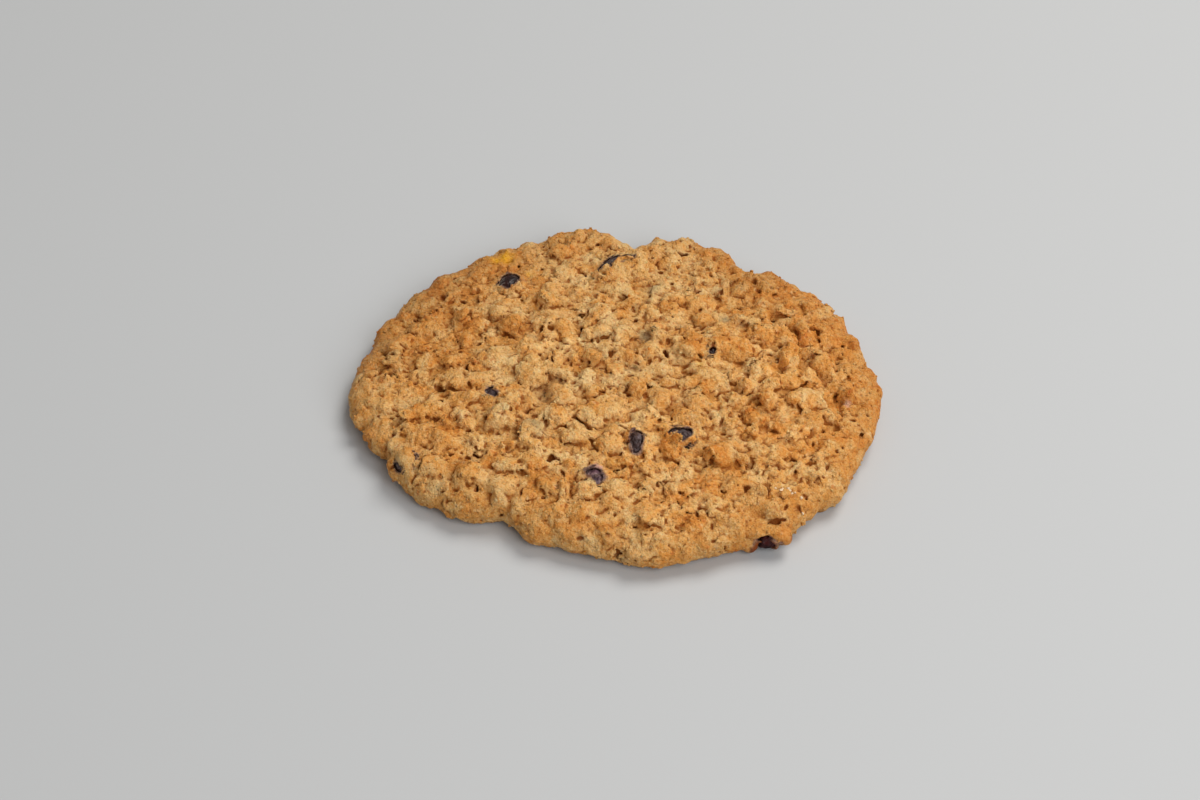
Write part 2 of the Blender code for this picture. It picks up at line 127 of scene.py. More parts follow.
# The larger clumps of oats on the top: x, y, half length, half width, turn in degrees, rise
MOUNDS = (
    # middle
    (-27.5, 1.5, 5.5, 5.0, 0, 1.3),
    (-21.5, 4.5, 4.2, 3.6, 0, 1.7),
    (-20.5, -4.5, 4.8, 4.4, 100, 2.1),
    (-13.6, -1.8, 5.6, 2.3, -58, 1.7),
    (-10.3, 2.2, 2.5, 1.1, 90, 1.2),
    (-6.2, 2.8, 3.0, 1.7, 90, 1.4),
    (-2.8, 7.0, 2.7, 2.1, 60, 1.0),
    (-4.5, 11.8, 4.6, 2.0, 0, 1.4),
    (1.2, 11.0, 2.6, 2.0, 90, 1.3),
    (-14.3, 14.0, 3.6, 2.6, -30, 1.7),
    (-19.5, 15.0, 3.0, 2.5, 0, 1.2),
    (-11.5, 9.8, 3.0, 2.0, -20, 1.0),
    (-16.5, 11.0, 2.2, 1.4, 20, 1.1),
    (5.2, -7.4, 2.5, 2.3, 100, 2.0),
    (10.6, -10.2, 4.0, 3.2, 90, 1.7),
    (-1.2, -14.5, 5.0, 4.2, 0, 1.6),
    (-6.5, -5.0, 3.0, 2.2, 90, 1.0),
    (3.2, 4.0, 2.4, 2.2, 90, 1.1),
    (0.0, -0.3, 2.6, 1.8, 0, 1.3),
    (9.5, 6.5, 3.0, 3.0, 0, 1.1),
    (10.5, 11.8, 2.2, 2.0, 0, 1.4),
    (17.6, 7.5, 4.2, 3.6, 0, 2.0),
    (21.0, 10.0, 3.0, 2.2, 90, 1.4),
    (14.8, 11.3, 1.8, 1.8, 0, 1.2),
    (18.5, 12.6, 2.4, 2.0, 0, 1.3),
    (12.5, -4.2, 2.0, 1.8, 0, 1.4),
    (17.5, -4.0, 3.0, 2.2, 30, 0.9),
    (22.5, -1.5, 5.0, 3.6, 90, 1.5),
    (19.5, -10.5, 3.2, 2.6, 0, 1.3),
    (17.0, -16.0, 4.0, 2.8, 10, 2.0),
    (8.0, -18.0, 3.0, 2.4, 90, 1.2),
    (-13.0, -11.5, 3.4, 3.2, 120, 1.4),
    (-13.3, -18.5, 3.4, 2.6, -30, 1.4),
    (-16.7, -16.5, 2.4, 1.8, 90, 1.2),
    (-7.0, -17.0, 3.0, 2.2, -40, 0.9),
    # right
    (29.0, 9.3, 4.8, 4.2, -10, 2.2),
    (25.5, 15.5, 3.2, 2.6, 0, 1.3),
    (36.0, 16.5, 4.4, 4.0, 0, 1.7),
    (41.2, 15.5, 4.0, 2.4, 100, 1.8),
    (42.3, 7.5, 4.2, 3.2, 110, 1.7),
    (36.0, 1.8, 3.2, 2.8, 0, 1.4),
    (29.5, -1.5, 2.4, 2.2, 90, 1.1),
    (33.0, -3.4, 2.8, 2.8, 0, 1.2),
    (37.8, -3.2, 2.8, 2.2, -10, 1.7),
    (37.3, -8.4, 2.6, 2.0, 90, 1.2),
    (43.0, -7.2, 2.4, 1.7, 90, 1.6),
    (43.2, -0.5, 3.6, 2.2, 90, 1.3),
    (47.5, 1.8, 2.8, 2.2, 90, 1.3),
    (50.6, 6.8, 3.2, 2.8, 90, 1.2),
    (47.2, 17.0, 3.4, 2.6, 90, 1.2),
    (47.0, -13.8, 3.6, 3.0, 100, 1.6),
    (48.0, -5.5, 3.2, 2.6, 0, 1.1),
    (40.3, -17.6, 2.4, 1.9, 0, 1.3),
    (33.0, -14.5, 3.0, 2.6, 0, 1.0),
    (52.5, -1.5, 2.4, 2.2, 0, 1.2),
    (45.0, 22.2, 3.2, 2.2, 90, 1.3),
    (35.0, 25.6, 2.8, 2.0, 0, 1.4),
    # left
    (-27.2, 12.3, 3.0, 2.3, -5, 2.1),
    (-46.5, -0.6, 3.0, 2.8, 0, 1.4),
    (-40.0, -6.8, 3.5, 3.0, 0, 1.8),
    (-33.4, -6.9, 2.9, 2.4, 0, 1.7),
    (-40.0, -0.3, 2.4, 1.9, 90, 1.5),
    (-35.3, 13.5, 3.4, 2.2, 90, 1.1),
    (-39.5, 15.0, 3.2, 2.0, 90, 1.2),
    (-47.0, 11.2, 2.6, 2.4, 90, 1.1),
    (-37.3, 8.5, 3.2, 1.6, 90, 1.1),
    (-53.5, -2.5, 2.6, 1.6, 90, 1.1),
    (-45.0, -17.8, 3.6, 2.6, 0, 1.1),
    (-25.0, -13.0, 2.6, 2.4, 90, 1.4),
    (-36.0, -13.0, 2.8, 2.4, 90, 1.1),
    # near
    (-43.0, -25.0, 5.2, 3.8, 0, 1.1),
    (-48.5, -24.0, 2.4, 2.2, 0, 1.1),
    (-33.0, -38.0, 3.0, 2.8, 90, 1.4),
    (-41.5, -36.0, 3.8, 3.0, 0, 0.9),
    (-26.0, -40.0, 4.6, 3.4, 0, 0.6),
    (-27.0, -20.0, 3.2, 2.6, 90, 1.1),
    (-25.0, -34.5, 3.0, 2.4, 0, 1.1),
    (-37.5, -27.0, 3.4, 3.2, 0, 0.9),
    (-8.5, -24.5, 3.4, 2.6, -10, 1.4),
    (-1.0, -26.5, 3.8, 3.2, 60, 2.1),
    (-0.3, -22.9, 2.6, 1.4, 0, 1.4),
    (-19.5, -22.5, 3.4, 3.0, 90, 1.4),
    (-20.0, -28.0, 4.0, 1.8, -8, 1.4),
    (-18.3, -33.5, 2.6, 2.6, 0, 1.1),
    (-14.0, -40.5, 3.0, 2.4, 0, 1.5),
    (2.2, -40.0, 2.9, 2.9, 0, 1.6),
    (2.0, -32.3, 3.4, 1.8, 0, 1.2),
    (8.6, -32.8, 2.6, 2.2, 0, 1.3),
    (13.8, -26.6, 3.0, 2.8, 0, 2.0),
    (-5.0, -47.0, 3.2, 2.6, 0, 1.2),
    (0.8, -44.8, 2.2, 1.8, 0, 1.3),
    (-11.5, -47.5, 2.2, 2.0, 0, 1.2),
    (9.0, -47.5, 3.0, 3.0, 0, 1.1),
    (15.0, -47.0, 3.4, 3.0, 90, 1.1),
    (16.0, -38.7, 3.8, 2.6, 25, 1.3),
    (26.3, -27.2, 4.2, 3.4, 70, 1.6),
    (39.6, -25.6, 2.9, 2.2, 0, 1.5),
    (35.0, -27.0, 3.4, 3.0, 90, 1.1),
    (38.7, -33.0, 2.8, 2.6, 0, 1.0),
    (28.0, -47.0, 3.2, 2.4, 0, 1.1),
    (33.0, -40.0, 4.5, 3.0, 0, 0.8),
    (45.5, -31.0, 2.6, 2.4, 0, 1.0),
    (29.5, -37.0, 2.8, 2.4, 0, 1.0),
    # far
    (-4.8, 20.6, 3.3, 2.9, 0, 2.0),
    (2.6, 36.6, 4.7, 4.4, 90, 2.0),
    (-0.5, 30.6, 4.0, 3.0, 0, 1.5),
    (-15.5, 45.0, 3.0, 2.8, 0, 1.5),
    (-14.0, 36.6, 4.0, 3.0, 90, 1.1),
    (-18.0, 24.6, 3.4, 3.0, 0, 1.1),
    (13.5, 27.0, 2.2, 1.8, 0, 1.4),
    (19.0, 26.0, 2.8, 2.8, 0, 1.3),
    (13.5, 21.2, 3.0, 2.6, 0, 1.1),
    (8.5, 20.8, 3.4, 2.2, 90, 1.1),
    (20.5, 19.2, 2.8, 2.4, 0, 1.4),
    (36.0, 31.6, 3.4, 3.0, 0, 1.3),
    (30.6, 34.0, 3.0, 3.0, 0, 1.2),
    (22.5, 37.0, 3.4, 3.0, 90, 1.2),
    (12.6, 42.0, 3.0, 2.4, 0, 1.2),
)

# The tones of some clumps: x, y, tone (-1 pale, 0 honey, 1 toasted orange), smoothness
TONES = (
    (-27.5, 1.5, -0.75, 0.5),
    (-21.5, 4.5, -0.1, 0.2),
    (-20.5, -4.5, -0.15, 0.1),
    (-13.6, -1.8, -0.05, 0.3),
    (-14.3, 14.0, -0.1, 0.2),
    (-16.5, 11.0, -0.8, 0.2),
    (5.2, -7.4, 0.75, 0.6),
    (10.6, -10.2, -0.25, 0.6),
    (-1.2, -14.5, -0.3, 0.75),
    (0.0, -0.3, 0.7, 0.2),
    (17.6, 7.5, 0.6, 0.4),
    (12.5, -4.2, 0.1, 0.3),
    (22.5, -1.5, -0.6, 0.3),
    (17.0, -16.0, 0.6, 0.3),
    (8.0, -18.0, 0.45, 0.2),
    (29.0, 9.3, 0.7, 0.5),
    (33.0, -3.4, -0.65, 0.3),
    (43.0, -7.2, 0.15, 0.3),
    (39.6, -25.6, 0.1, 0.4),
    (50.6, 6.8, 0.8, 0.2),
    (47.2, 17.0, 0.8, 0.2),
    (45.0, 22.2, 0.85, 0.2),
    (-27.2, 12.3, 0.05, 0.4),
    (-33.0, -38.0, 0.05, 0.3),
    (-14.0, -40.5, 0.05, 0.3),
    (-1.0, -26.5, 0.65, 0.2),
    (13.8, -26.6, 0.75, 0.5),
    (2.2, -40.0, -0.2, 0.7),
    (2.6, 36.6, -0.25, 0.5),
    (26.3, -27.2, -0.15, 0.7),
    (38.7, -33.0, -0.1, 0.7),
    (-4.8, 20.6, -0.15, 0.7),
    (-25.0, -13.0, -0.6, 0.3),
    (-19.5, -22.5, -0.35, 0.3),
    (36.0, 31.6, 0.85, 0.2),
    (-0.5, 30.6, -0.2, 0.2),
)

# Pits and slits in the top: x, y, length, width, turn in degrees, depth
HOLES = (
    # left
    (-57.0, 2.0, 2.5, 1.0, -35, 1.4),
    (-52.5, 5.0, 3.0, 0.8, 0, 1.3),
    (-55.5, -19.0, 2.0, 1.0, 60, 1.4),
    (-48.5, -8.0, 1.5, 1.5, 0, 1.6),
    (-44.3, -7.5, 0.9, 0.9, 0, 1.3),
    (-42.0, -10.3, 4.0, 1.2, -20, 1.8),
    (-42.0, -20.3, 3.0, 0.9, 0, 1.6),
    (-41.7, -14.0, 1.3, 1.0, 0, 1.3),
    (-36.6, -1.8, 3.0, 1.0, 90, 1.8),
    (-38.5, 3.7, 2.5, 0.9, 0, 1.4),
    (-33.8, 6.5, 2.0, 0.9, -15, 1.4),
    (-32.5, 4.0, 2.0, 1.0, 90, 1.5),
    (-27.5, 10.0, 4.7, 1.0, 2, 1.7),
    (-39.5, 8.0, 2.0, 0.9, 90, 1.4),
    (-32.5, -10.5, 1.6, 1.0, 20, 1.4),
    (-28.5, -19.0, 1.5, 1.5, 0, 1.4),
    (-45.7, 18.0, 2.5, 0.8, 90, 1.4),
    (-37.0, 17.5, 5.0, 0.8, 90, 1.5),
    (-51.2, 16.3, 2.0, 0.9, -50, 1.4),
    (-48.0, 4.5, 1.1, 0.9, 30, 1.2),
    (-44.5, 25.5, 4.0, 2.4, 90, 2.0),
    (-39.3, 24.0, 1.5, 1.0, 0, 1.4),
    (-32.5, 33.2, 0.9, 0.9, 0, 1.4),
    (-29.5, 27.0, 1.0, 0.9, 0, 1.2),
    # middle
    (-8.7, -3.0, 1.6, 1.1, 20, 1.2),
    (-9.0, 13.7, 2.5, 1.4, 60, 1.7),
    (-6.0, 9.3, 1.5, 1.2, 0, 1.5),
    (-13.3, 4.5, 2.0, 1.2, 50, 1.5),
    (-15.0, 7.0, 1.5, 1.0, 90, 1.4),
    (-19.5, 12.7, 2.5, 1.4, 0, 1.7),
    (2.5, -8.0, 4.0, 1.0, 90, 1.8),
    (-20.0, -16.5, 2.5, 2.0, 0, 2.4),
    (-14.8, -14.0, 3.5, 1.1, -65, 1.9),
    (0.5, 2.7, 1.0, 0.8, 0, 1.4),
    (5.0, 1.5, 0.9, 0.9, 0, 1.4),
    (8.3, 1.1, 0.8, 0.8, 0, 1.4),
    (-3.3, -5.2, 0.9, 0.9, 0, 1.3),
    (4.0, -2.5, 1.3, 1.3, 0, 1.3),
    (-4.0, 1.9, 0.8, 0.8, 0, 1.3),
    (12.5, 7.0, 4.0, 1.2, 90, 2.0),
    (23.7, 8.3, 3.2, 1.6, 90, 2.4),
    (20.0, 13.0, 2.0, 0.8, 30, 1.4),
    (-17.5, 34.5, 2.5, 0.9, 90, 1.5),
    (-11.0, 31.0, 1.2, 1.2, 0, 1.4),
    (-8.7, 35.0, 3.0, 0.9, 90, 1.6),
    (-6.2, 27.0, 1.2, 0.9, 90, 1.4),
    (0.7, 22.0, 2.5, 1.2, 0, 1.3),
    # right
    (31.3, 19.5, 2.5, 1.0, 90, 1.8),
    (57.5, -11.2, 1.5, 1.0, 0, 1.4),
    (48.0, 13.5, 2.5, 1.0, 0, 1.5),
    (56.5, 14.8, 2.0, 0.9, -40, 0.8),
    (52.0, -10.0, 1.0, 1.0, 0, 1.4),
    (44.3, -18.8, 1.0, 1.0, 0, 1.4),
    (50.3, -17.0, 1.5, 1.0, 90, 1.4),
    (55.0, -18.0, 1.2, 1.1, 0, 1.4),
    (62.2, -5.0, 2.0, 1.0, 90, 1.2),
    (25.0, 31.0, 4.0, 2.0, 80, 1.9),
    (20.0, 31.5, 2.5, 1.5, 0, 1.5),
    (30.5, 27.0, 3.0, 2.3, 90, 1.7),
    (39.0, 24.0, 2.5, 1.5, 0, 1.5),
    (15.0, 47.5, 4.0, 3.0, 0, 1.3),
    (-6.0, 49.5, 2.6, 1.0, 20, 1.5),
    # near
    (-51.7, -25.8, 1.7, 1.3, 80, 1.9),
    (-50.0, -24.5, 1.0, 0.9, 0, 1.4),
    (-47.6, -30.2, 1.0, 0.8, 0, 1.1),
    (-46.0, -30.4, 0.9, 0.8, 0, 1.1),
    (-44.0, -34.0, 1.6, 1.2, 0, 1.6),
    (-37.2, -32.0, 1.4, 1.2, 0, 1.8),
    (-32.2, -31.3, 2.8, 1.4, -25, 2.2),
    (-24.3, -30.0, 2.0, 0.9, 0, 1.4),
    (-27.6, -24.8, 1.5, 0.9, 90, 1.4),
    (-33.9, -23.7, 1.6, 0.8, 0, 1.1),
    (-31.0, -42.0, 3.5, 0.9, 90, 1.6),
    (-38.5, -42.5, 1.3, 1.2, 0, 1.4),
    (-13.8, -31.9, 3.6, 2.8, -20, 2.2),
    (-6.0, -30.0, 1.5, 0.9, 0, 1.4),
    (-5.0, -32.5, 2.0, 0.8, 90, 1.5),
    (12.0, -43.5, 2.0, 1.2, 0, 1.5),
    (19.5, -47.0, 4.0, 1.3, 90, 1.9),
    (-20.4, -42.0, 4.0, 0.9, 90, 1.6),
    (-16.0, -44.0, 2.0, 1.5, 90, 1.7),
    (7.8, -35.0, 1.0, 1.0, 0, 1.4),
    (22.3, -38.0, 1.0, 1.0, 0, 1.4),
    (6.5, -51.0, 1.3, 1.0, 0, 1.4),
    (8.0, -53.7, 1.0, 1.0, 0, 1.4),
    (2.5, -56.0, 2.0, 1.4, 0, 1.5),
    (0.0, -53.8, 1.1, 1.0, 0, 1.4),
    (17.5, -55.0, 1.0, 0.9, 0, 1.3),
    (3.0, -27.0, 2.0, 1.9, 0, 1.5),
    (43.3, -27.0, 3.0, 2.3, 70, 1.9),
    (47.3, -26.5, 2.0, 0.9, 0, 1.4),
    (50.7, -29.0, 2.0, 1.0, 90, 1.4),
    (39.2, -30.5, 1.8, 0.9, 0, 1.4),
    (31.0, -31.5, 4.0, 1.0, 60, 1.6),
    (30.3, -26.0, 2.0, 1.0, 90, 1.5),
    (28.8, -35.3, 1.3, 1.0, 0, 1.4),
    (47.5, -33.0, 3.0, 0.9, 90, 1.5),
    (44.8, -35.0, 1.1, 1.0, 0, 1.4),
    (46.3, -37.3, 1.5, 1.4, 0, 1.5),
    (31.7, -38.0, 2.0, 0.9, 90, 1.4),
    (26.0, -39.0, 2.0, 1.0, 90, 1.5),
    (36.5, -45.5, 2.0, 0.9, 0, 1.4),
    (43.8, -41.0, 2.5, 0.8, 90, 1.5),
)

# Cracks in the top: width, depth, points
CRACKS = (
    (1.0, 1.7, ((-17.0, 3.5), (-16.0, 0.8), (-15.0, -2.0))),
    (1.1, 1.8, ((-9.0, -18.0), (-6.0, -21.5), (-4.0, -22.0), (1.0, -21.3), (4.5, -20.5))),
    (0.9, 1.5, ((-23.5, -7.0), (-23.0, -9.5), (-21.3, -10.0))),
    (0.9, 1.4, ((-12.0, 22.5), (-9.5, 21.0), (-9.2, 18.6))),
    (0.9, 1.5, ((36.5, 9.0), (35.0, 6.0), (33.0, 3.0))),
    (1.2, 1.2, ((27.0, 0.0), (26.6, -6.0), (27.0, -12.0))),
    (0.8, 1.3, ((-45.0, -28.6), (-43.8, -29.3), (-42.8, -30.0), (-41.5, -29.3))),
    (0.7, 1.0, ((-44.0, -34.0), (-45.5, -37.0))),
    (0.7, 1.1, ((-40.0, -22.0), (-38.5, -22.5), (-37.0, -23.6))),
    (0.8, 1.3, ((0.4, -34.2), (1.5, -34.8), (2.8, -34.3))),
    (0.7, 1.2, ((11.0, -38.0), (12.4, -37.3), (14.0, -36.0))),
    (0.9, 1.4, ((-56.0, -8.6), (-56.2, -6.2), (-54.6, -4.8), (-52.8, -5.4))),
    (0.8, 1.2, ((59.3, -13.0), (59.0, -18.0))),
)

# Wide shallow dips of the top: width, depth, points
VALLEYS = (
    (
        3.4,
        1.5,
        (
            (31.0, 27.0),
            (36.0, 26.0),
            (40.0, 24.0),
            (43.0, 18.0),
            (44.5, 13.0),
            (46.5, 8.0),
            (49.0, 4.0),
            (53.0, 0.0),
            (54.0, -5.0),
        ),
    ),
    (4.0, 0.9, ((11.0, -1.0), (17.0, 0.0))),
    (4.0, 0.7, ((-17.0, -9.0), (-15.0, -15.0), (-20.0, -16.5))),
    (3.0, 0.8, ((14.0, -21.0), (22.0, -21.5), (30.0, -20.0))),
    (3.0, 0.7, ((-24.0, 20.0), (-14.0, 19.0), (-9.5, 17.0))),
    (4.0, 0.7, ((7.0, 15.0), (6.0, 9.0))),
    (3.0, 0.8, ((26.0, 24.0), (25.0, 31.0))),
)

# The lumps that the surface is packed with: size, rise, unevenness, width of their
# rounded edges, change of tone, how far smooth clumps lack them, and how much of
# them the rim has
PACKING = (
    (5.4, 1.05, 0.50, 3.2, 0.55, 0.30, 0.45),
    (2.9, 0.50, 0.22, 2.0, 0.50, 0.35, 0.50),
    (1.5, 0.24, 0.08, 1.1, 0.34, 0.30, 0.50),
)
GRAIN = ((1.30, 0.070), (0.95, 0.035))  # waves of the fine roughness: length, height

# Parts of the crust that are browner or paler than the rest: x, y, radius, redder, darker. The darker column
# is partly painted shade, and painted light where it is negative
BROAD = (
    (-44.0, 27.0, 13.0, 0.45, 0.16),
    (-30.0, 40.0, 10.0, 0.25, 0.08),
    (2.0, 44.0, 12.0, -0.30, -0.04),
    (14.0, 38.0, 10.0, -0.10, -0.02),
    (33.0, 34.0, 10.0, 0.20, 0.13),
    (37.0, 4.0, 12.0, -0.28, -0.11),
    (25.0, -37.0, 10.0, 0.30, 0.00),
    (37.0, -48.0, 6.0, -0.30, 0.00),
    (42.0, -22.0, 9.0, 0.05, -0.06),
    (12.0, -48.0, 8.0, 0.10, -0.08),
    (58.0, -1.0, 9.0, -0.20, 0.03),
    (-16.0, 6.0, 9.0, 0.10, -0.10),
    (-17.0, -22.0, 8.0, -0.25, -0.10),
    (6.0, -22.0, 11.0, 0.05, -0.07),
    (48.0, -33.0, 11.0, -0.45, -0.04),
    (14.0, -29.0, 9.0, 0.00, -0.06),
    (-34.0, 5.0, 12.0, 0.25, 0.05),
    (-58.0, 4.0, 12.0, 0.35, 0.13),
    (-51.0, 26.0, 9.0, 0.10, 0.08),
)
# Yellow flecks in the dough: x, y, radius, strength
YELLOW = (
    (-30.0, 42.8, 3.4, 0.85),
    (-32.2, 41.2, 2.4, 0.75),
    (-23.5, 35.7, 1.4, 0.5),
    (20.5, 3.0, 2.0, 0.35),
)

# White sugar grains: x, y, number
SUGAR = (
    (38.4, -36.9, 1),
    (39.8, -37.3, 3),
    (41.2, -37.0, 2),
    (42.6, -37.5, 3),
    (44.4, -37.9, 1),
    (47.5, -39.6, 1),
    (45.0, -42.6, 1),
)

# Stains of the fruit: x, y, radius, strength
PURPLE_STAINS = (
    (-28.4, -12.2, 2.4, 0.6),
    (-24.6, 32.8, 2.2, 0.45),
    (4.4, -25.2, 3.4, 0.5),
    (17.6, -23.6, 2.6, 0.5),
    (-3.2, -37.0, 4.2, 1.0),
    (-27.6, -24.8, 1.6, 0.5),
    (-50.6, -35.4, 1.8, 0.4),
    (0.0, 42.8, 2.2, 0.4),
    (24.0, 7.6, 1.8, 0.4),
    (56.2, -6.1, 1.6, 0.3),
)
# Pinkish white places by the fruit, those at the near berry's top edge a painted highlight: x, y, radius,
# strength
PINK = (
    (-3.6, -33.6, 1.5, 0.95),
    (-2.4, -34.3, 1.2, 0.8),
    (-5.0, -34.6, 1.0, 0.6),
    (56.6, -6.0, 2.2, 0.6),
    (2.2, 42.0, 1.0, 0.4),
)
GREY_STAINS = (
    (-18.8, -22.5, 4.2, 0.9),
    (27.0, 21.0, 2.4, 0.9),
    (30.4, 19.4, 1.8, 0.6),
    (7.0, 13.0, 3.4, 0.9),
    (8.4, 30.9, 3.2, 0.7),
    (5.0, 0.5, 2.8, 0.7),
    (-17.0, -11.0, 4.5, 0.5),
    (-21.0, 10.0, 2.4, 0.7),
    (-14.0, -6.5, 4.0, 0.35),
    (7.0, -23.5, 2.5, 0.4),
)

# The fruit: node, half length, half width, half thickness, turns about Z, Y and X in degrees
BERRIES = (
    ("cranberry_far_left", 4.0, 3.2, 2.6, 62.0, 8.0, -8.0),
    ("cranberry_far", 7.0, 5.4, 2.7, 38.0, 0.0, 6.0),
    ("cranberry_left", 3.6, 2.8, 2.3, -10.0, 8.0, 0.0),
    ("cranberry_near_middle", 4.1, 2.7, 2.5, 96.0, 6.0, 4.0),
    ("cranberry_near_right", 4.4, 3.3, 2.5, -24.0, -6.0, 4.0),
    ("cranberry_near", 4.3, 3.1, 2.6, 108.0, 6.0, -4.0),
    ("cranberry_rim_left", 3.9, 3.2, 2.3, 122.0, 12.0, -14.0),
    ("cranberry_rim_right", 4.9, 3.4, 2.7, 38.0, 0.0, 4.0),
    ("cranberry_middle", 3.0, 2.2, 2.1, 84.0, 0.0, 6.0),
)
BERRY_WRINKLE = 0.22
BARE_SIDE = Vector((0.56, -0.74, -0.37))  # where the low rim berry lies bare and dried flat
LIP_SIDE = Vector((-0.79, -0.61, 0.0))  # where the dough squeezes it

# ---- The voxel grid that the dough is shaped in ------------------------------
STEP = 0.34
NX, NY, NZ = ((400, 360, 54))
X0, Y0, Z0 = -0.5 * NX * STEP, -0.5 * NY * STEP, -1.4
XS = (X0 + STEP * np.arange(NX)).astype(np.float32)
YS = (Y0 + STEP * np.arange(NY)).astype(np.float32)
ZS = (Z0 + STEP * np.arange(NZ)).astype(np.float32)
ORIGIN = np.array((X0, Y0, Z0))

TOP_SKIN = 1.15  # how far the ground between the clumps lies below the mean top
RIM_SKIN = 0.7  # the same, at the rim


def edge_radius(angle):
    """Distance from the middle to the outline's widest line, in the direction angle."""
    c, s = np.cos(angle), np.sin(angle)
    radius = HALF_LENGTH * HALF_WIDTH / np.hypot(HALF_WIDTH * c, HALF_LENGTH * s)
    degrees = np.degrees(angle)
    for direction, change, half_width in OUTLINE_FEATURES + OUTLINE_DETAIL:
        turn = (degrees - direction + 180.0) % 360.0 - 180.0
        radius = radius + change * np.exp(-((turn / half_width) ** 2))
    return radius


def far_from_line(x, y, points):
    """Distance of each (x, y) from the line through the points."""
    nearest = np.full(np.shape(x), 1e9)
    for (ax, ay), (bx, by) in zip(points[:-1], points[1:]):
        dx, dy = bx - ax, by - ay
        t = np.clip(((x - ax) * dx + (y - ay) * dy) / (dx * dx + dy * dy), 0.0, 1.0)
        nearest = np.minimum(nearest, np.hypot(x - ax - t * dx, y - ay - t * dy))
    return nearest


def band_noise(seed, wavelength, spread=0.33):
    """A smooth random field of unit variance over the grid, with waves of about that length."""
    chance = np.random.default_rng(seed)
    fx = np.fft.fftfreq(NX, STEP)[:, None, None]
    fy = np.fft.fftfreq(NY, STEP)[None, :, None]
    fz = np.fft.rfftfreq(NZ, STEP)[None, None, :]
    pitch = np.sqrt(fx * fx + fy * fy + fz * fz) * wavelength
    strength = np.exp(-(((pitch - 1.0) / spread) ** 2))
    waves = chance.standard_normal(strength.shape) + 1j * chance.standard_normal(
        strength.shape
    )
    field = np.fft.irfftn(waves * strength, s=(NX, NY, NZ))
    field /= field.std()
    return field.astype(np.float32)


def sample(field, points):
    """The field's value at each point, in millimetres, between its grid's corners."""
    spot = (points - ORIGIN) / STEP
    low = np.clip(np.floor(spot).astype(np.int64), 0, np.array(field.shape) - 2)
    part = np.clip(spot - low, 0.0, 1.0)
    total = np.zeros(len(points))
    for a in (0, 1):
        for b in (0, 1):
            for c in (0, 1):
                weight = (
                    (part[:, 0] if a else 1 - part[:, 0])
                    * (part[:, 1] if b else 1 - part[:, 1])
                    * (part[:, 2] if c else 1 - part[:, 2])
                )
                total += (
                    weight * field[low[:, 0] + a, low[:, 1] + b, low[:, 2] + c]
                )
    return total


def slope(field, points, reach):
    """The outward direction of the field at each point."""
    way = np.stack(
        [
            sample(field, points + step) - sample(field, points - step)
            for step in np.eye(3) * reach
        ],
        -1,
    )
    return way / np.maximum(np.linalg.norm(way, axis=1, keepdims=True), 1e-9)


def surface_net(field, step):
    """The field's zero surface as (points in millimetres, four-cornered faces)."""
    inside = field < 0.0
    total = np.zeros(np.array(field.shape) - 1, np.uint8)
    corners = [(a, b, c) for a in (0, 1) for b in (0, 1) for c in (0, 1)]
    nx, ny, nz = field.shape
    for a, b, c in corners:
        total += inside[a : nx - 1 + a, b : ny - 1 + b, c : nz - 1 + c]
    live = (total > 0) & (total < 8)
    number = np.full(live.shape, -1, np.int64)
    cells = np.stack(np.nonzero(live), -1)
    number[live] = np.arange(len(cells))
    at = np.zeros((len(cells), 3))
    hits = np.zeros(len(cells))
    i, j, k = cells.T
    values = {p: field[i + p[0], j + p[1], k + p[2]].astype(float) for p in corners}
    for one in corners:
        for axis in range(3):
            if one[axis]:
                continue
            other = tuple(v + (1 if d == axis else 0) for d, v in enumerate(one))
            va, vb = values[one], values[other]
            crossed = (va < 0.0) != (vb < 0.0)
            share = np.where(crossed, va / np.where(crossed, va - vb, 1.0), 0.0)
            for d in range(3):
                at[:, d] += crossed * (one[d] + (share if d == axis else 0.0))
            hits += crossed
    at = (cells + at / hits[:, None]) * step + ORIGIN

    faces = []
    for axis in range(3):
        first = [slice(None)] * 3
        second = [slice(None)] * 3
        first[axis], second[axis] = slice(0, -1), slice(1, None)
        changed = inside[tuple(first)] != inside[tuple(second)]
        u, v = [(1, 2), (2, 0), (0, 1)][axis]
        places = np.stack(np.nonzero(changed), -1)
        keep = (places[:, u] > 0) & (places[:, v] > 0)
        keep &= (places[:, u] < field.shape[u] - 1) & (
            places[:, v] < field.shape[v] - 1
        )
        places = places[keep]
        outwards = inside[tuple(places.T)]
        ring = []
        for du, dv in ((-1, -1), (0, -1), (0, 0), (-1, 0)):
            cell = places.copy()
            cell[:, u] += du
            cell[:, v] += dv
            ring.append(number[tuple(cell.T)])
        quads = np.stack(ring, -1)
        quads[~outwards] = quads[~outwards][:, ::-1]
        faces.append(quads)
    return at, np.concatenate(faces)


def scatter(points, spacing, chance):
    """Numbers of randomly chosen points that lie at least spacing apart."""
    taken = {}
    chosen = []
    cells = np.floor(points / spacing).astype(int)
    for index in chance.permutation(len(points)):
        cx, cy, cz = cells[index]
        spot = points[index]
        free = True
        for a in (-1, 0, 1):
            for b in (-1, 0, 1):
                for c in (-1, 0, 1):
                    for near in taken.get((cx + a, cy + b, cz + c), ()):
                        if (
                            (near[0] - spot[0]) ** 2
                            + (near[1] - spot[1]) ** 2
                            + (near[2] - spot[2]) ** 2
                        ) < spacing * spacing:
                            free = False
        if free:
            taken.setdefault((cx, cy, cz), []).append(spot)
            chosen.append(index)
    return np.array(chosen)


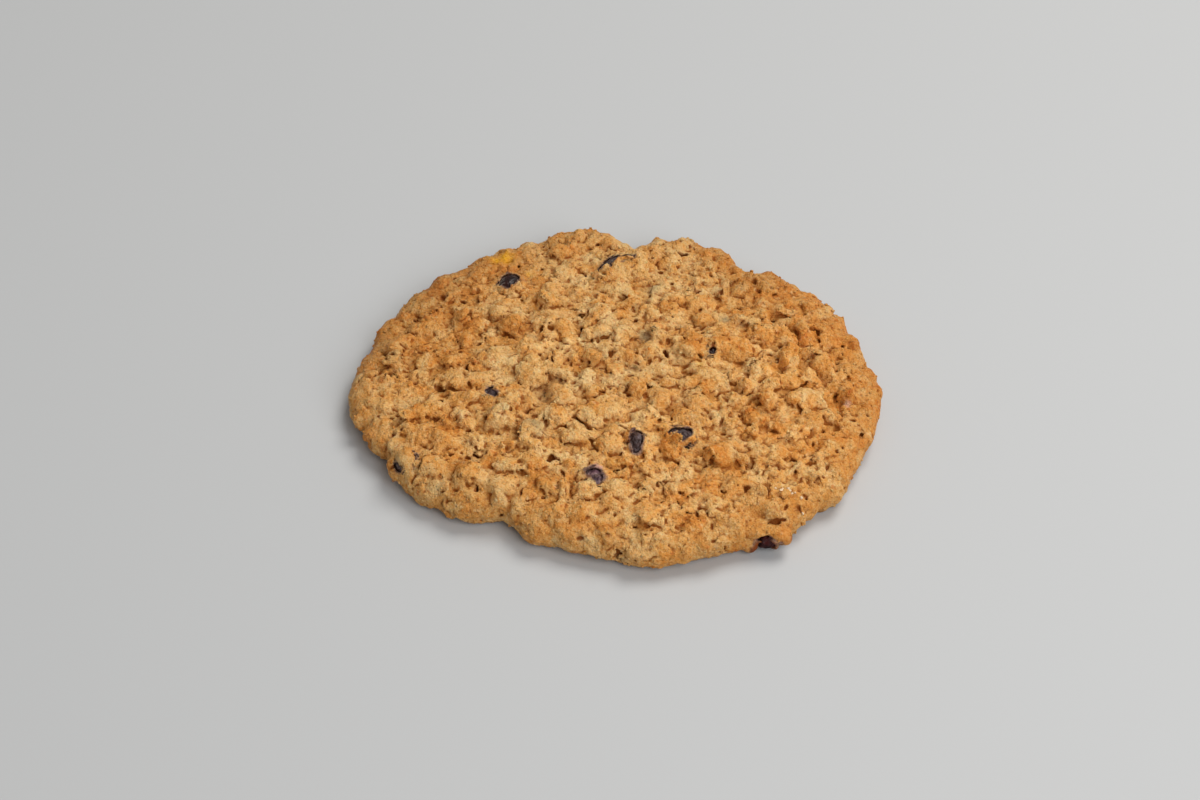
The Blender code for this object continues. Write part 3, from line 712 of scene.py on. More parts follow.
def blur(field, reach):
    """The field's mean over a cube that reaches that far to each side."""
    count = max(1, int(round(reach / STEP)))
    for axis in range(3):
        grown = np.concatenate(
            [
                np.repeat(np.take(field, [0], axis), count + 1, axis),
                field,
                np.repeat(np.take(field, [-1], axis), count, axis),
            ],
            axis,
        )
        running = np.cumsum(grown, axis, dtype=np.float64)
        length = field.shape[axis]
        upper = np.take(running, range(2 * count + 1, 2 * count + 1 + length), axis)
        lower = np.take(running, range(0, length), axis)
        field = ((upper - lower) / (2 * count + 1)).astype(np.float32)
    return field


# ---- The dough -----------------------------------------------------------------
PX, PY = np.meshgrid(XS - CENTRE_SHIFT[0], YS - CENTRE_SHIFT[1], indexing="ij")
REACH = np.hypot(PX, PY)
EDGE = edge_radius(np.arctan2(PY, PX))
SHARE = REACH / EDGE
SWAY = np.array(
    [
        [0.8 * noise.noise(Vector((x / 26.0, y / 26.0, 3.7))) for y in PY[0]]
        for x in PX[:, 0]
    ]
)
DOME = (
    CROWN_HEIGHT
    - (CROWN_HEIGHT - SHOULDER_HEIGHT) * np.minimum(1.0, SHARE) ** 2.4
    + SWAY
)
for width, depth, points in VALLEYS:
    away = far_from_line(
        PX + CENTRE_SHIFT[0], PY + CENTRE_SHIFT[1], points
    )
    DOME = DOME - depth * np.exp(-((away / (0.62 * width)) ** 2))


def columns(x, y):
    """Grid numbers of the column nearest to (x, y)."""
    i = np.clip(np.round((np.asarray(x) - X0) / STEP).astype(int), 0, NX - 1)
    j = np.clip(np.round((np.asarray(y) - Y0) / STEP).astype(int), 0, NY - 1)
    return i, j


def mean_top(x, y):
    """Height of the mean top at (x, y), rolled over at the rim."""
    i, j = columns(x, y)
    out = np.clip((REACH[i, j] - (EDGE[i, j] - RIM_ROLL)) / RIM_ROLL, 0.0, 1.0)
    return WIDEST_HEIGHT + (DOME[i, j] - WIDEST_HEIGHT) * np.sqrt(1.0 - out * out)


def bare_field():
    """The dough without its clumps: a dome, a rounded rim and a flat foot."""
    high = (DOME - TOP_SKIN - WIDEST_HEIGHT)[:, :, None].astype(np.float32)
    edge = EDGE - RIM_SKIN
    z = ZS[None, None, :] - WIDEST_HEIGHT
    out = np.maximum(REACH - (edge - RIM_ROLL), 0.0)[:, :, None].astype(np.float32)
    low = np.maximum(REACH - (edge - FOOT_INSET), 0.0)[:, :, None].astype(np.float32)

    def bulge(across, up, half_across, half_up):
        near = np.sqrt((across / half_across) ** 2 + (up / half_up) ** 2)
        far = np.sqrt((across / half_across**2) ** 2 + (up / half_up**2) ** 2)
        return near * (near - 1.0) / np.maximum(far, 0.02)

    upper = bulge(out, z, RIM_ROLL, high)
    lower = bulge(low, z, FOOT_INSET, WIDEST_HEIGHT)
    return np.where(z >= 0.0, upper, lower).astype(np.float32)


class Dough:
    """The field of the dough with what each place of it looks like."""

    def __init__(self):
        self.field = bare_field()
        self.tone = np.zeros_like(self.field)
        self.calm = np.zeros_like(self.field)
        self.pit_brown_and_shade = np.zeros_like(self.field)
        self.veil = np.zeros_like(self.field)
        self.named = np.zeros(REACH.shape)
        self.fray = [band_noise(seed, 1.8, 0.4) for seed in (41, 42, 43)]
        self.warp = []
        for seed in (21, 22, 23):
            self.warp.append(
                0.30 * band_noise(seed, 7.0)
                + 0.08 * band_noise(seed + 10, 3.0)
            )

    def region(self, centre, half, turned, margin):
        """The block of the grid round an ellipsoid, with None in place of coordinates."""
        reach = np.sqrt(((turned * half[:, None]) ** 2).sum(0)) + margin
        low = np.floor((centre - reach - ORIGIN) / STEP).astype(int)
        high = np.ceil((centre + reach - ORIGIN) / STEP).astype(int) + 1
        low = np.clip(low, 0, (NX, NY, NZ))
        high = np.clip(high, 0, (NX, NY, NZ))
        if np.any(high <= low):
            return None, None
        return tuple(slice(a, b) for a, b in zip(low, high)), None

    def distance(self, centre, half, turned, margin, warped=1.0, frayed=0.0):
        """The block of the grid round an ellipsoid, and the distance of each place in it."""
        block, _ = self.region(centre, half, turned, margin)
        if block is None:
            return None, None
        x = XS[block[0]][:, None, None] - centre[0]
        y = YS[block[1]][None, :, None] - centre[1]
        z = ZS[block[2]][None, None, :] - centre[2]
        if warped:
            x = x + warped * self.warp[0][block]
            y = y + warped * self.warp[1][block]
            z = z + warped * self.warp[2][block]
        if frayed:
            x = x + frayed * self.fray[0][block]
            y = y + frayed * self.fray[1][block]
            z = z + frayed * self.fray[2][block]
        near = far = 0.0
        for axis in range(3):
            along = (
                x * turned[axis, 0] + y * turned[axis, 1] + z * turned[axis, 2]
            ) / half[axis]
            squared = along * along
            near = near + squared
            far = far + squared / (half[axis] * half[axis])
        near = np.sqrt(near)
        return block, near * (near - 1.0) / np.maximum(np.sqrt(far), 1e-3)

    def add(self, centre, half, turned, tone, calm, blend, warped=1.0):
        """Joins a rounded clump to the dough."""
        block, away = self.distance(centre, half, turned, blend + 1.3 * warped, warped)
        if block is None:
            return
        field = self.field[block]
        mix = np.clip(0.5 + 0.5 * (field - away) / blend, 0.0, 1.0)
        self.field[block] = (
            field * (1.0 - mix) + away * mix - blend * mix * (1.0 - mix)
        )
        colour = np.clip(0.5 + (field - away) / 0.3, 0.0, 1.0)
        self.tone[block] += colour * (tone - self.tone[block])
        self.calm[block] += colour * (calm - self.calm[block])

    def cut(
        self,
        centre,
        half,
        turned,
        pit_brown_and_shade=1.0,
        warped=0.5,
        darkening_reach=0.28,
        blend=0.15,
        frayed=0.0,
        veil=0.0,
    ):
        """Takes a rounded cavity out of the dough and darkens the dough round it: browner crust and painted
        shade.
        """
        margin = darkening_reach + blend + 1.0 + frayed + veil
        block, away = self.distance(centre, half, turned, margin, warped, frayed)
        if block is None:
            return
        field = self.field[block]
        mix = np.clip(0.5 + 0.5 * (field + away) / blend, 0.0, 1.0)
        self.field[block] = (
            -away * (1.0 - mix) + field * mix + blend * mix * (1.0 - mix)
        )
        dark = pit_brown_and_shade * np.clip(1.0 - away / darkening_reach, 0.0, 1.0)
        self.pit_brown_and_shade[block] = np.maximum(self.pit_brown_and_shade[block], dark)
        if veil:
            haze = np.clip(1.0 - away / veil, 0.0, 1.0)
            self.veil[block] = np.maximum(self.veil[block], haze)

    def surface_height(self, x, y):
        """Height of the dough's top at (x, y)."""
        i, j = columns(x, y)
        column = self.field[int(i), int(j)]
        below = np.nonzero(column < 0.0)[0]
        return float(ZS[below[-1]]) if len(below) else WIDEST_HEIGHT


def rotation(turn, pitch=0.0, roll=0.0):
    """Rows are the directions of a piece's own axes."""
    return np.array(
        Euler(
            (math.radians(roll), math.radians(pitch), math.radians(turn)), "XYZ"
        ).to_matrix()
    ).T


def frame_along(normal, angle):
    """Rows are two directions across the normal, turned by angle, and the normal."""
    helper = np.array((0.0, 0.0, 1.0)) if abs(normal[2]) < 0.9 else np.array((1.0, 0, 0))
    u = np.cross(helper, normal)
    u /= np.linalg.norm(u)
    v = np.cross(normal, u)
    c, s = math.cos(angle), math.sin(angle)
    return np.stack([c * u + s * v, c * v - s * u, normal])


# Dough that lies over the fruit: x, y, half length, half width, half height, turn, top over the mean top, tone
COVERS = (
    (2.6, 37.4, 5.2, 4.8, 2.3, 0.0, 1.55, -0.25),
    (13.6, -26.8, 3.1, 2.8, 2.0, 0.0, 1.3, 0.75),
)

# Where the fruit shows through the dough over it: berry, x, y, length, width, turn,
# and how far its juice has stained the dough round it
WINDOWS = (
    (0, -28.0, 32.0, 6.6, 4.8, 78.0, 0.6),
    (1, -5.6, 37.4, 2.8, 1.0, 62.0, 0.3),
    (1, -4.0, 39.6, 3.2, 1.1, 48.0, 0.3),
    (1, -1.8, 41.2, 3.2, 1.2, 24.0, 0.4),
    (1, 1.4, 42.0, 4.0, 1.0, 4.0, 0.4),
    (2, -29.5, -11.7, 3.0, 1.3, -14.0, 0.6),
    (3, 5.7, -25.5, 7.4, 3.0, 84.0, 1.1),
    (4, 17.0, -22.8, 4.4, 2.8, 64.0, 0.9),
    (4, 14.6, -21.6, 3.6, 0.9, 40.0, 0.3),
    (5, -4.2, -35.8, 3.4, 2.2, 20.0, 1.2),
    (5, -2.8, -37.9, 2.6, 1.6, 70.0, 1.0),
    (6, -50.4, -34.8, 5.0, 0.55, -64.0, 0.25),
    (8, 23.6, 7.5, 2.2, 1.5, 60.0, 0.4),
)
LIP = (34.6, -46.6, 5.6, 4.4, 3.4, 2.0)  # the dough over the low rim berry: x, y, z, half sizes
LEDGE = (39.5, -47.4, 5.3, 3.1, 2.3, 1.3)  # over the low rim berry: x, y, z, half sizes
LEDGE_DROOP = (41.2, -48.1, 3.9, 1.3, 1.3, 1.5)  # the ledge's right end, which hangs down
LEFT_LIP = (32.8, -48.9, 2.8, 2.1, 2.0, 2.3)  # the dough left of the low rim berry
LEDGE_GAPS = (
    # between the lip and the ledge, and behind the ledge: x, y, z, half sizes, turn
    (35.5, -49.0, 4.8, 2.0, 0.9, 1.5, -54.0),
    (38.6, -45.7, 7.1, 2.7, 0.4, 1.0, 25.0),
)
LOW_WINDOW = (36.2, -51.4, 1.5, 3.6, 3.2, 3.5, 34.0)  # under it, with its turn


def berry_centres():
    """Middles of the fruit in millimetres, as the solids have them."""
    centres = []
    for berry in BERRIES:
        points = np.array([v.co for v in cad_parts[berry[0]].data.vertices])
        centres.append(0.5 * (points.min(0) + points.max(0)) / MM)
    return centres


CENTRES = berry_centres()


def mound_look(x, y, chance):
    """Tone and smoothness of the clump at (x, y)."""
    for tx, ty, tone, calm in TONES:
        if math.hypot(tx - x, ty - y) < 0.6:
            return tone, calm
    return chance.normal(0.05, 0.3), chance.uniform(0.0, 0.4)


def add_big_clumps(dough, chance):
    for x, y, along, across, turn, rise in MOUNDS:
        tone, calm = mound_look(x, y, chance)
        up = min(2.4, max(1.2, 0.62 * min(along, across)))
        middle = (x, y, float(mean_top(x, y)) + rise - 0.75 - up)
        turned = rotation(turn, *(chance.normal(0.0, 6.0, 2)))
        dough.add(
            np.array(middle), np.array((along, across, up)), turned, tone, calm, 0.35
        )
        away = np.hypot(PX + CENTRE_SHIFT[0] - x, PY + CENTRE_SHIFT[1] - y)
        size = math.sqrt(along * across)
        dough.named = np.maximum(dough.named, step_up(1.3 * size, 0.7 * size, away))
    for x, y, along, across, up, turn, rise, tone in COVERS:
        middle = (x, y, float(mean_top(x, y)) + rise - up)
        dough.add(
            np.array(middle), np.array((along, across, up)), rotation(turn), tone, 0.4, 0.4
        )
    for (name, along, across, up, turn, pitch, roll), centre in zip(BERRIES, CENTRES):
        spare = -0.5 if name == "cranberry_rim_right" else 0.6
        half = np.array((along, across, up)) + spare
        dough.add(centre, half, rotation(turn, pitch, roll), -0.1, 0.35, 0.8, 0.5)


def add_medium_clumps(dough, chance):
    every = 3
    coarse = dough.field[::every, ::every, ::every]
    points, _ = surface_net(coarse, STEP * every)
    points = points[points[:, 2] > 1.2]
    normals = slope(dough.field, points, 1.2)
    mounds = np.array([m[:4] for m in MOUNDS])
    for index in scatter(points, 4.3, chance):
        spot, normal = points[index], normals[index]
        gap = np.hypot(mounds[:, 0] - spot[0], mounds[:, 1] - spot[1])
        if normal[2] > 0.5 and np.any(gap < 0.8 * mounds[:, 3]):
            continue
        wide = chance.uniform(1.7, 3.3)
        half = np.array((wide, wide * chance.uniform(0.65, 1.0), 0.0))
        half[2] = half[1] * chance.uniform(0.62, 0.9)
        flat = min(1.0, max(0.0, normal[2]))
        stand = chance.uniform(0.25 + 0.1 * flat, 0.8 + 0.4 * flat)
        if spot[2] < 4.0:
            stand *= 0.4
        if normal[2] < 0.5:
            stand *= 0.75
        middle = spot + normal * (stand - half[2])
        lean = normal + chance.normal(0.0, 0.18, 3)
        turned = frame_along(lean / np.linalg.norm(lean), chance.uniform(0.0, math.pi))
        dough.add(
            middle, half, turned, chance.normal(0.0, 0.38), chance.uniform(0, 0.5), 0.3
        )


def add_flakes(dough, chance):
    every = 3
    points, _ = surface_net(dough.field[::every, ::every, ::every], STEP * every)
    normals = slope(dough.field, points, 1.2)
    i, j = columns(points[:, 0], points[:, 1])
    inner = (normals[:, 2] > 0.6) & (REACH[i, j] < EDGE[i, j] - 9.0)
    points, normals = points[inner], normals[inner]
    picked = scatter(points, 8.5, chance)
    for index in picked:
        spot, normal = points[index], normals[index]
        long = chance.uniform(2.2, 3.6)
        half = np.array((long, long * chance.uniform(0.5, 0.72), chance.uniform(0.5, 0.7)))
        lean = normal + chance.normal(0.0, 0.42, 3)
        lean /= np.linalg.norm(lean)
        middle = spot + normal * chance.uniform(-0.25, 0.25)
        turned = frame_along(lean, chance.uniform(0.0, math.pi))
        dough.add(
            middle, half, turned, chance.normal(-0.25, 0.3), 0.75, 0.2, 0.6
        )


def packed_lumps(points, size, chance):
    """For each point: distance to the nearest lump's middle, how much further the next one is, and two random numbers of that lump."""
    counts = np.ceil(np.array((NX, NY, NZ)) * STEP / size).astype(int) + 6
    table = chance.random((*counts, 5)).astype(np.float32)
    spot = ((points - ORIGIN) / size + 3.0).astype(np.float32)
    cell = np.clip(np.floor(spot).astype(np.int64), 1, counts - 2)
    nearest = np.full(len(points), 1e9, np.float32)
    second = np.full(len(points), 1e9, np.float32)
    number = np.zeros(len(points), np.int64)
    flat = table.reshape(-1, 5)
    for a in (-1, 0, 1):
        for b in (-1, 0, 1):
            for c in (-1, 0, 1):
                i, j, k = cell[:, 0] + a, cell[:, 1] + b, cell[:, 2] + c
                index = (i * counts[1] + j) * counts[2] + k
                seat = flat[index]
                away = (i + seat[:, 0] - spot[:, 0]) ** 2
                away += (j + seat[:, 1] - spot[:, 1]) ** 2
                away += (k + seat[:, 2] - spot[:, 2]) ** 2
                closer = away < nearest
                second = np.where(closer, nearest, np.minimum(second, away))
                number = np.where(closer, index, number)
                nearest = np.where(closer, away, nearest)
    nearest, second = np.sqrt(nearest), np.sqrt(second)
    return nearest, second - nearest, flat[number, 3], flat[number, 4]


def roughen(dough, chance):
    """Packs the surface with flattened lumps of three sizes, with creases between them."""
    share = 0.26 + 0.34 * step_up(8.0, 1.0, EDGE - REACH) * step_up(-35.0, -5.0, PY)
    share = share[:, :, None].astype(np.float32)
    dough.field = (1.0 - share) * dough.field + share * blur(dough.field, 1.4)
    band = np.nonzero(np.abs(dough.field) < 1.5)
    points = np.stack([XS[band[0]], YS[band[1]], ZS[band[2]]], -1).astype(np.float32)
    field, tone = dough.field[band], dough.tone[band]
    ways = [g[band] for g in np.gradient(blur(dough.field, 0.34), STEP)]
    steep = np.maximum(np.sqrt(sum(g * g for g in ways)), 0.3)
    for axis in range(3):
        points[:, axis] -= field * ways[axis] / steep**2
        points[:, axis] += 1.2 * dough.warp[axis][band]
        points[:, axis] += 0.30 * band_noise(61 + axis, 2.6, 0.35)[band]
    calm = np.clip(dough.calm[band], 0.0, 1.0)
    named = dough.named[band[0], band[1]]
    broad = 0.5 + 0.2 * band_noise(51, 11.0)[band]
    inward = np.clip((EDGE - REACH)[band[0], band[1]], 0.0, 20.0)
    inside = step_up(1.5, 9.0, inward) * step_up(2.0, 7.0, points[:, 2])
    knobbly = 1.0 + 0.6 * step_up(-15.0, -35.0, points[:, 1])
    for size, rise, uneven, width, colour, keep, at_rim in PACKING:
        near, margin, one, two = packed_lumps(points, size, chance)
        deep = np.clip(broad + 0.5 * band_noise(52 + int(size), 4.0)[band], 0.04, 1.5)
        least = at_rim * knobbly
        soft = (1.0 - keep * calm) * (least + (1.0 - least) * inside)
        if size > 4.0:
            soft = soft * (1.0 - 0.6 * named)
        edge = 1.0 - np.clip(margin * size / width, 0.0, 1.0)
        out = soft * rise * deep * (0.45 - edge**2)
        out += soft * uneven * (2.0 * one - 1.0) * (1.0 - edge * edge)
        field = field - out
        tone = tone + colour * (2.0 * two - 1.0) * (1.0 - 0.5 * edge * edge)
    for number, (length, height) in enumerate(GRAIN):
        waves = np.clip(band_noise(71 + number, length, 0.3)[band], -2.2, 2.2)
        field = field - height * waves * (1.0 - 0.4 * calm) * (0.3 + 0.7 * inside)
    dough.field[band] = field
    dough.tone[band] = tone


def pit_dough(dough, chance):
    """Cracks, pits, slits and pores."""
    up = np.eye(3)
    for x, y, long, wide, turn, depth in HOLES:
        z = dough.surface_height(x, y)
        half = np.array((0.42 * long, 0.36 * wide, 0.8 * depth))
        dough.cut(
            np.array((x, y, z - 0.15)), half, rotation(turn), 0.85, 1.2, frayed=0.22
        )
    for width, depth, points in CRACKS:
        for (ax, ay), (bx, by) in zip(points[:-1], points[1:]):
            length = math.hypot(bx - ax, by - ay)
            turn = math.degrees(math.atan2(by - ay, bx - ax))
            x, y = 0.5 * (ax + bx), 0.5 * (ay + by)
            z = dough.surface_height(x, y)
            half = np.array((0.6 * length + 0.2, 0.46 * width, 0.8 * depth))
            dough.cut(
                np.array((x, y, z - 0.1)), half, rotation(turn), 0.55, 1.2, frayed=0.3
            )
    every = 2
    points, _ = surface_net(dough.field[::every, ::every, ::every], STEP * every)
    normals = slope(dough.field, points, 0.6)
    picked = scatter(points, 2.3, chance)
    for index in picked[: int(0.13 * len(picked))]:
        wide = chance.uniform(0.26, 0.46)
        half = np.array((wide, wide * chance.uniform(1.0, 2.2), wide * 2.2))
        turned = frame_along(normals[index], chance.uniform(0.0, math.pi))
        dough.cut(points[index], half, turned, chance.uniform(0.4, 0.9), 1.2, 0.22, 0.1)


def seat_fruit(dough):
    for (name, along, across, up, turn, pitch, roll), centre in zip(BERRIES, CENTRES):
        if name == "cranberry_rim_right":
            continue
        half = np.array((along, across, up)) + 0.3
        turned = rotation(turn, pitch, roll)
        dough.add(centre, half, turned, -0.1, 0.3, 0.3, 0.3)
    for number, x, y, long, wide, turn, veil in WINDOWS:
        middle = np.array((x, y, CENTRES[number][2] + 0.9 * BERRIES[number][3]))
        lean = 34.0 if wide > 2.5 else 22.0
        turned = rotation(turn) @ rotation(0.0, 0.0, lean)
        half = np.array((0.5 * long, 0.5 * wide, 3.4))
        middle = middle + 1.0 * turned[2]
        frayed = 0.2 if wide < 1.3 else 0.1
        dough.cut(middle, half, turned, 0.1, 0.5, 0.3, 0.45, frayed, veil)
    x, y, z, along, across, up = LIP
    half = np.array((along, across, up))
    dough.add(np.array((x, y, z)), half, rotation(20.0, 0.0, -22.0), 0.3, 0.5, 0.6, 0.5)
    x, y, z, along, across, up, turn = LOW_WINDOW
    half = np.array((along, across, up))
    dough.cut(np.array((x, y, z)), half, rotation(turn), 0.9, 0.5, 0.5, 0.4, 0.1, 0.3)
    x, y, z, along, across, up = LEDGE
    half = np.array((along, across, up))
    dough.add(
        np.array((x, y, z)), half, rotation(12.0, 16.0, 10.0), 0.7, 0.2, 0.4, 0.6
    )
    for x, y, z, along, across, up in (LEDGE_DROOP, LEFT_LIP):
        half = np.array((along, across, up))
        dough.add(np.array((x, y, z)), half, rotation(0.0), 0.4, 0.4, 0.8, 0.6)
    for x, y, z, along, across, up, turn in LEDGE_GAPS:
        half = np.array((along, across, up))
        dough.cut(
            np.array((x, y, z)), half, rotation(turn), 0.9, 0.4, 0.5, 0.3, 0.2
        )
    for (name, along, across, up, turn, pitch, roll), centre in zip(BERRIES, CENTRES):
        half = np.array((along, across, up)) + 0.02
        if name == "cranberry_rim_right":
            half = half * (0.83, 0.82, 0.96)
            centre = centre + np.array((0.3, 1.0, 0.1))
        dough.cut(centre, half, rotation(turn, pitch, roll), 0.4, 0.0, 0.4, 0.05)


def biggest_piece(points, quads):
    """The points and faces of the largest connected surface."""
    label = np.arange(len(points))
    a = np.concatenate([quads[:, 0], quads[:, 1], quads[:, 2]])
    b = np.concatenate([quads[:, 1], quads[:, 2], quads[:, 3]])
    while True:
        low = np.minimum(label[a], label[b])
        fresh = label.copy()
        np.minimum.at(fresh, a, low)
        np.minimum.at(fresh, b, low)
        np.minimum.at(fresh, label[a], low)
        np.minimum.at(fresh, label[b], low)
        fresh = fresh[fresh]
        if np.array_equal(fresh, label):
            break
        label = fresh
    names, counts = np.unique(label, return_counts=True)
    kept = label == names[counts.argmax()]
    renumber = np.cumsum(kept) - 1
    quads = renumber[quads[kept[quads[:, 0]]]]
    return points[kept], quads


def mesh_from(name, points, faces):
    """A mesh in metres from points in millimetres."""
    mesh = bpy.data.meshes.new(name)
    corners = faces.shape[1]
    mesh.vertices.add(len(points))
    mesh.vertices.foreach_set("co", (points * MM).astype(np.float32).ravel())
    mesh.loops.add(faces.size)
    mesh.loops.foreach_set("vertex_index", faces.astype(np.int32).ravel())
    mesh.polygons.add(len(faces))
    mesh.polygons.foreach_set(
        "loop_start", np.arange(0, faces.size, corners, dtype=np.int32)
    )
    mesh.update(calc_edges=True)
    mesh.validate()
    return mesh


def place(name, mesh, material):
    mesh.materials.clear()
    mesh.materials.append(material)
    mesh.shade_smooth()
    made = bpy.data.objects.new(name, mesh)
    bpy.context.scene.collection.objects.link(made)
    return made


def fewer_faces(mesh, limit):
    """The mesh, simplified where it is flattest, with at most limit triangles."""
    holder = bpy.data.objects.new("holder", mesh)
    bpy.context.scene.collection.objects.link(holder)
    triangles = sum(len(p.vertices) - 2 for p in mesh.polygons)
    if triangles > limit:
        slim = holder.modifiers.new("slim", "DECIMATE")
        slim.ratio = limit / triangles
        slim.use_collapse_triangulate = True
    bpy.context.view_layer.update()
    shaped = bpy.data.meshes.new_from_object(
        holder.evaluated_get(bpy.context.evaluated_depsgraph_get())
    )
    bpy.data.objects.remove(holder)
    return shaped


def write_attribute(mesh, name, values):
    layer = mesh.attributes.new(name, "FLOAT", "POINT")
    layer.data.foreach_set("value", np.asarray(values, np.float32))


def step_up(low, high, value):
    t = np.clip((value - low) / (high - low), 0.0, 1.0)
    return t * t * (3.0 - 2.0 * t)


def spots(points, table):
    """Strength of the round stains in the table at each point, 0 to 1."""
    total = np.zeros(len(points))
    for x, y, radius, strength in table:
        away = np.hypot(points[:, 0] - x, points[:, 1] - y)
        total = np.maximum(total, strength * np.exp(-((away / (0.6 * radius)) ** 2)))
    return total


def thin_over_fruit(points):
    """1 where the dough is a mere film over a berry, 0 where it is thick."""
    film = np.zeros(len(points))
    for (name, along, across, up, turn, pitch, roll), centre in zip(BERRIES, CENTRES):
        half = np.array((along, across, up))
        local = (points - centre) @ rotation(turn, pitch, roll).T / half
        near = np.linalg.norm(local, axis=1)
        far = np.maximum(np.linalg.norm(local / half, axis=1), 1e-6)
        film = np.maximum(film, step_up(0.7, 0.05, near * (near - 1.0) / far))
    return film


def describe(mesh, dough):
    """Writes what each point of the surface looks like."""
    count = len(mesh.vertices)
    flat = np.zeros(count * 3, np.float32)
    mesh.vertices.foreach_get("co", flat)
    points = flat.reshape(-1, 3).astype(float) / MM
    solid = np.clip(0.5 - dough.field / STEP, 0.0, 1.0).astype(np.float32)
    near = sample(blur(solid, 0.6), points)
    wide = sample(blur(solid, 2.4), points)
    share = np.hypot(points[:, 0] - CENTRE_SHIFT[0], points[:, 1] - CENTRE_SHIFT[1])
    share /= edge_radius(
        np.arctan2(points[:, 1] - CENTRE_SHIFT[1], points[:, 0] - CENTRE_SHIFT[0])
    )
    i, j = columns(points[:, 0], points[:, 1])
    above = points[:, 2] - DOME[i, j]
    toast = 0.18 * step_up(0.76, 1.02, share)
    toast += 0.44 * step_up(10.0, 56.0, points[:, 0])
    toast += 0.14 * step_up(18.0, 56.0, points[:, 1])
    toast -= 0.25 * step_up(34.0, 6.0, np.hypot(points[:, 0] + 8.0, points[:, 1]))
    # The crust's brightness: the rim darker for its browner crust, the far side (+Y) darker as painted shade.
    shade = 0.03 - 0.11 * step_up(0.80, 0.99, share)
    shade -= 0.07 * step_up(22.0, 48.0, points[:, 1])
    for x, y, radius, redder, darker in BROAD:
        patch = np.exp(-(np.hypot(points[:, 0] - x, points[:, 1] - y) / radius) ** 2)
        toast += redder * patch
        shade -= darker * patch
    write_attribute(mesh, "shade", 1.0 + shade)
    write_attribute(mesh, "pink", spots(points, PINK) * (points[:, 2] > 2))
    write_attribute(mesh, "yellow", spots(points, YELLOW) * (points[:, 2] > 2))
    # How enclosed each point is, at two reaches: it drives browning and painted shade in creases and hollows.
    write_attribute(mesh, "crease_brown_and_shade", np.clip((near - 0.5) / 0.28, -1.0, 1.0))
    write_attribute(mesh, "hollow_brown_and_shade", np.clip((wide - 0.5) / 0.3, -1.0, 1.0))
    write_attribute(mesh, "tone", np.clip(sample(dough.tone, points), -1.5, 1.5))
    write_attribute(mesh, "calm", np.clip(sample(dough.calm, points), 0.0, 1.0))
    write_attribute(mesh, "pit_brown_and_shade", np.clip(sample(dough.pit_brown_and_shade, points), 0.0, 1.0))
    write_attribute(mesh, "toast", toast)
    write_attribute(mesh, "raised", np.clip(above / 1.6, -1.0, 1.0) * (share < 0.97))
    write_attribute(mesh, "purple", spots(points, PURPLE_STAINS) * (points[:, 2] > 2))
    write_attribute(mesh, "grey", spots(points, GREY_STAINS) * (points[:, 2] > 2))
    film = np.maximum(0.65 * thin_over_fruit(points), sample(dough.veil, points))
    write_attribute(mesh, "film", np.clip(film, 0.0, 1.0) * (points[:, 2] > 1.2))
    write_attribute(mesh, "foot", step_up(1.4, 0.1, points[:, 2]))


def make_dough():
    dough = Dough()
    chance = np.random.default_rng(7)
    add_big_clumps(dough, chance)
    add_medium_clumps(dough, chance)
    add_flakes(dough, chance)
    roughen(dough, chance)
    pit_dough(dough, chance)
    seat_fruit(dough)
    dough.field = np.maximum(dough.field, -ZS[None, None, :]).astype(np.float32)
    points, quads = surface_net(dough.field, STEP)
    points, quads = biggest_piece(points, quads)
    full = mesh_from("dough_full", points, quads)
    mesh = fewer_faces(full, 196000)
    mesh.name = "dough"
    describe(mesh, dough)
    return mesh, dough


def make_crumbs(dough_mesh, dough):
    """Small loose-looking nubs of oat and sugar that stand on the crust."""
    chance = np.random.default_rng(77)
    flat = np.zeros(len(dough_mesh.vertices) * 3, np.float32)
    dough_mesh.vertices.foreach_get("co", flat)
    points = flat.reshape(-1, 3).astype(float) / MM
    points = points[points[:, 2] > 1.0]
    pit_brown_and_shade = sample(dough.pit_brown_and_shade, points)
    points = points[pit_brown_and_shade < 0.1]
    normals = slope(dough.field, points, 0.5)
    tone = sample(dough.tone, points)
    picked = scatter(points, 1.5, chance)
    picked = picked[: 2200]
    ball = bmesh.new()
    bmesh.ops.create_icosphere(ball, subdivisions=2, radius=1.0)
    ball.verts.ensure_lookup_table()
    shape = np.array([v.co for v in ball.verts])
    faces = np.array([[v.index for v in f.verts] for f in ball.faces])
    ball.free()
    all_points, all_faces, tones = [], [], []
    for index in picked:
        wide = chance.uniform(0.22, 0.45)
        half = np.array(
            (wide, wide * chance.uniform(0.6, 1.0), wide * chance.uniform(0.5, 0.9))
        )
        turned = frame_along(normals[index], chance.uniform(0.0, math.pi))
        lumpy = 1.0 + 0.22 * chance.normal(0.0, 1.0, len(shape))[:, None].clip(-1.5, 1.5)
        local = shape * lumpy * half
        middle = points[index] + normals[index] * half[2] * chance.uniform(-0.3, 0.35)
        all_faces.append(faces + len(shape) * len(all_points))
        all_points.append(local @ turned + middle)
        tones.append(np.full(len(shape), tone[index] + chance.normal(0.0, 0.35)))
    mesh = mesh_from("crumbs", np.concatenate(all_points), np.concatenate(all_faces))
    describe(mesh, dough)
    mesh.attributes["tone"].data.foreach_set(
        "value", np.clip(np.concatenate(tones), -1.5, 1.5).astype(np.float32)
    )
    return mesh


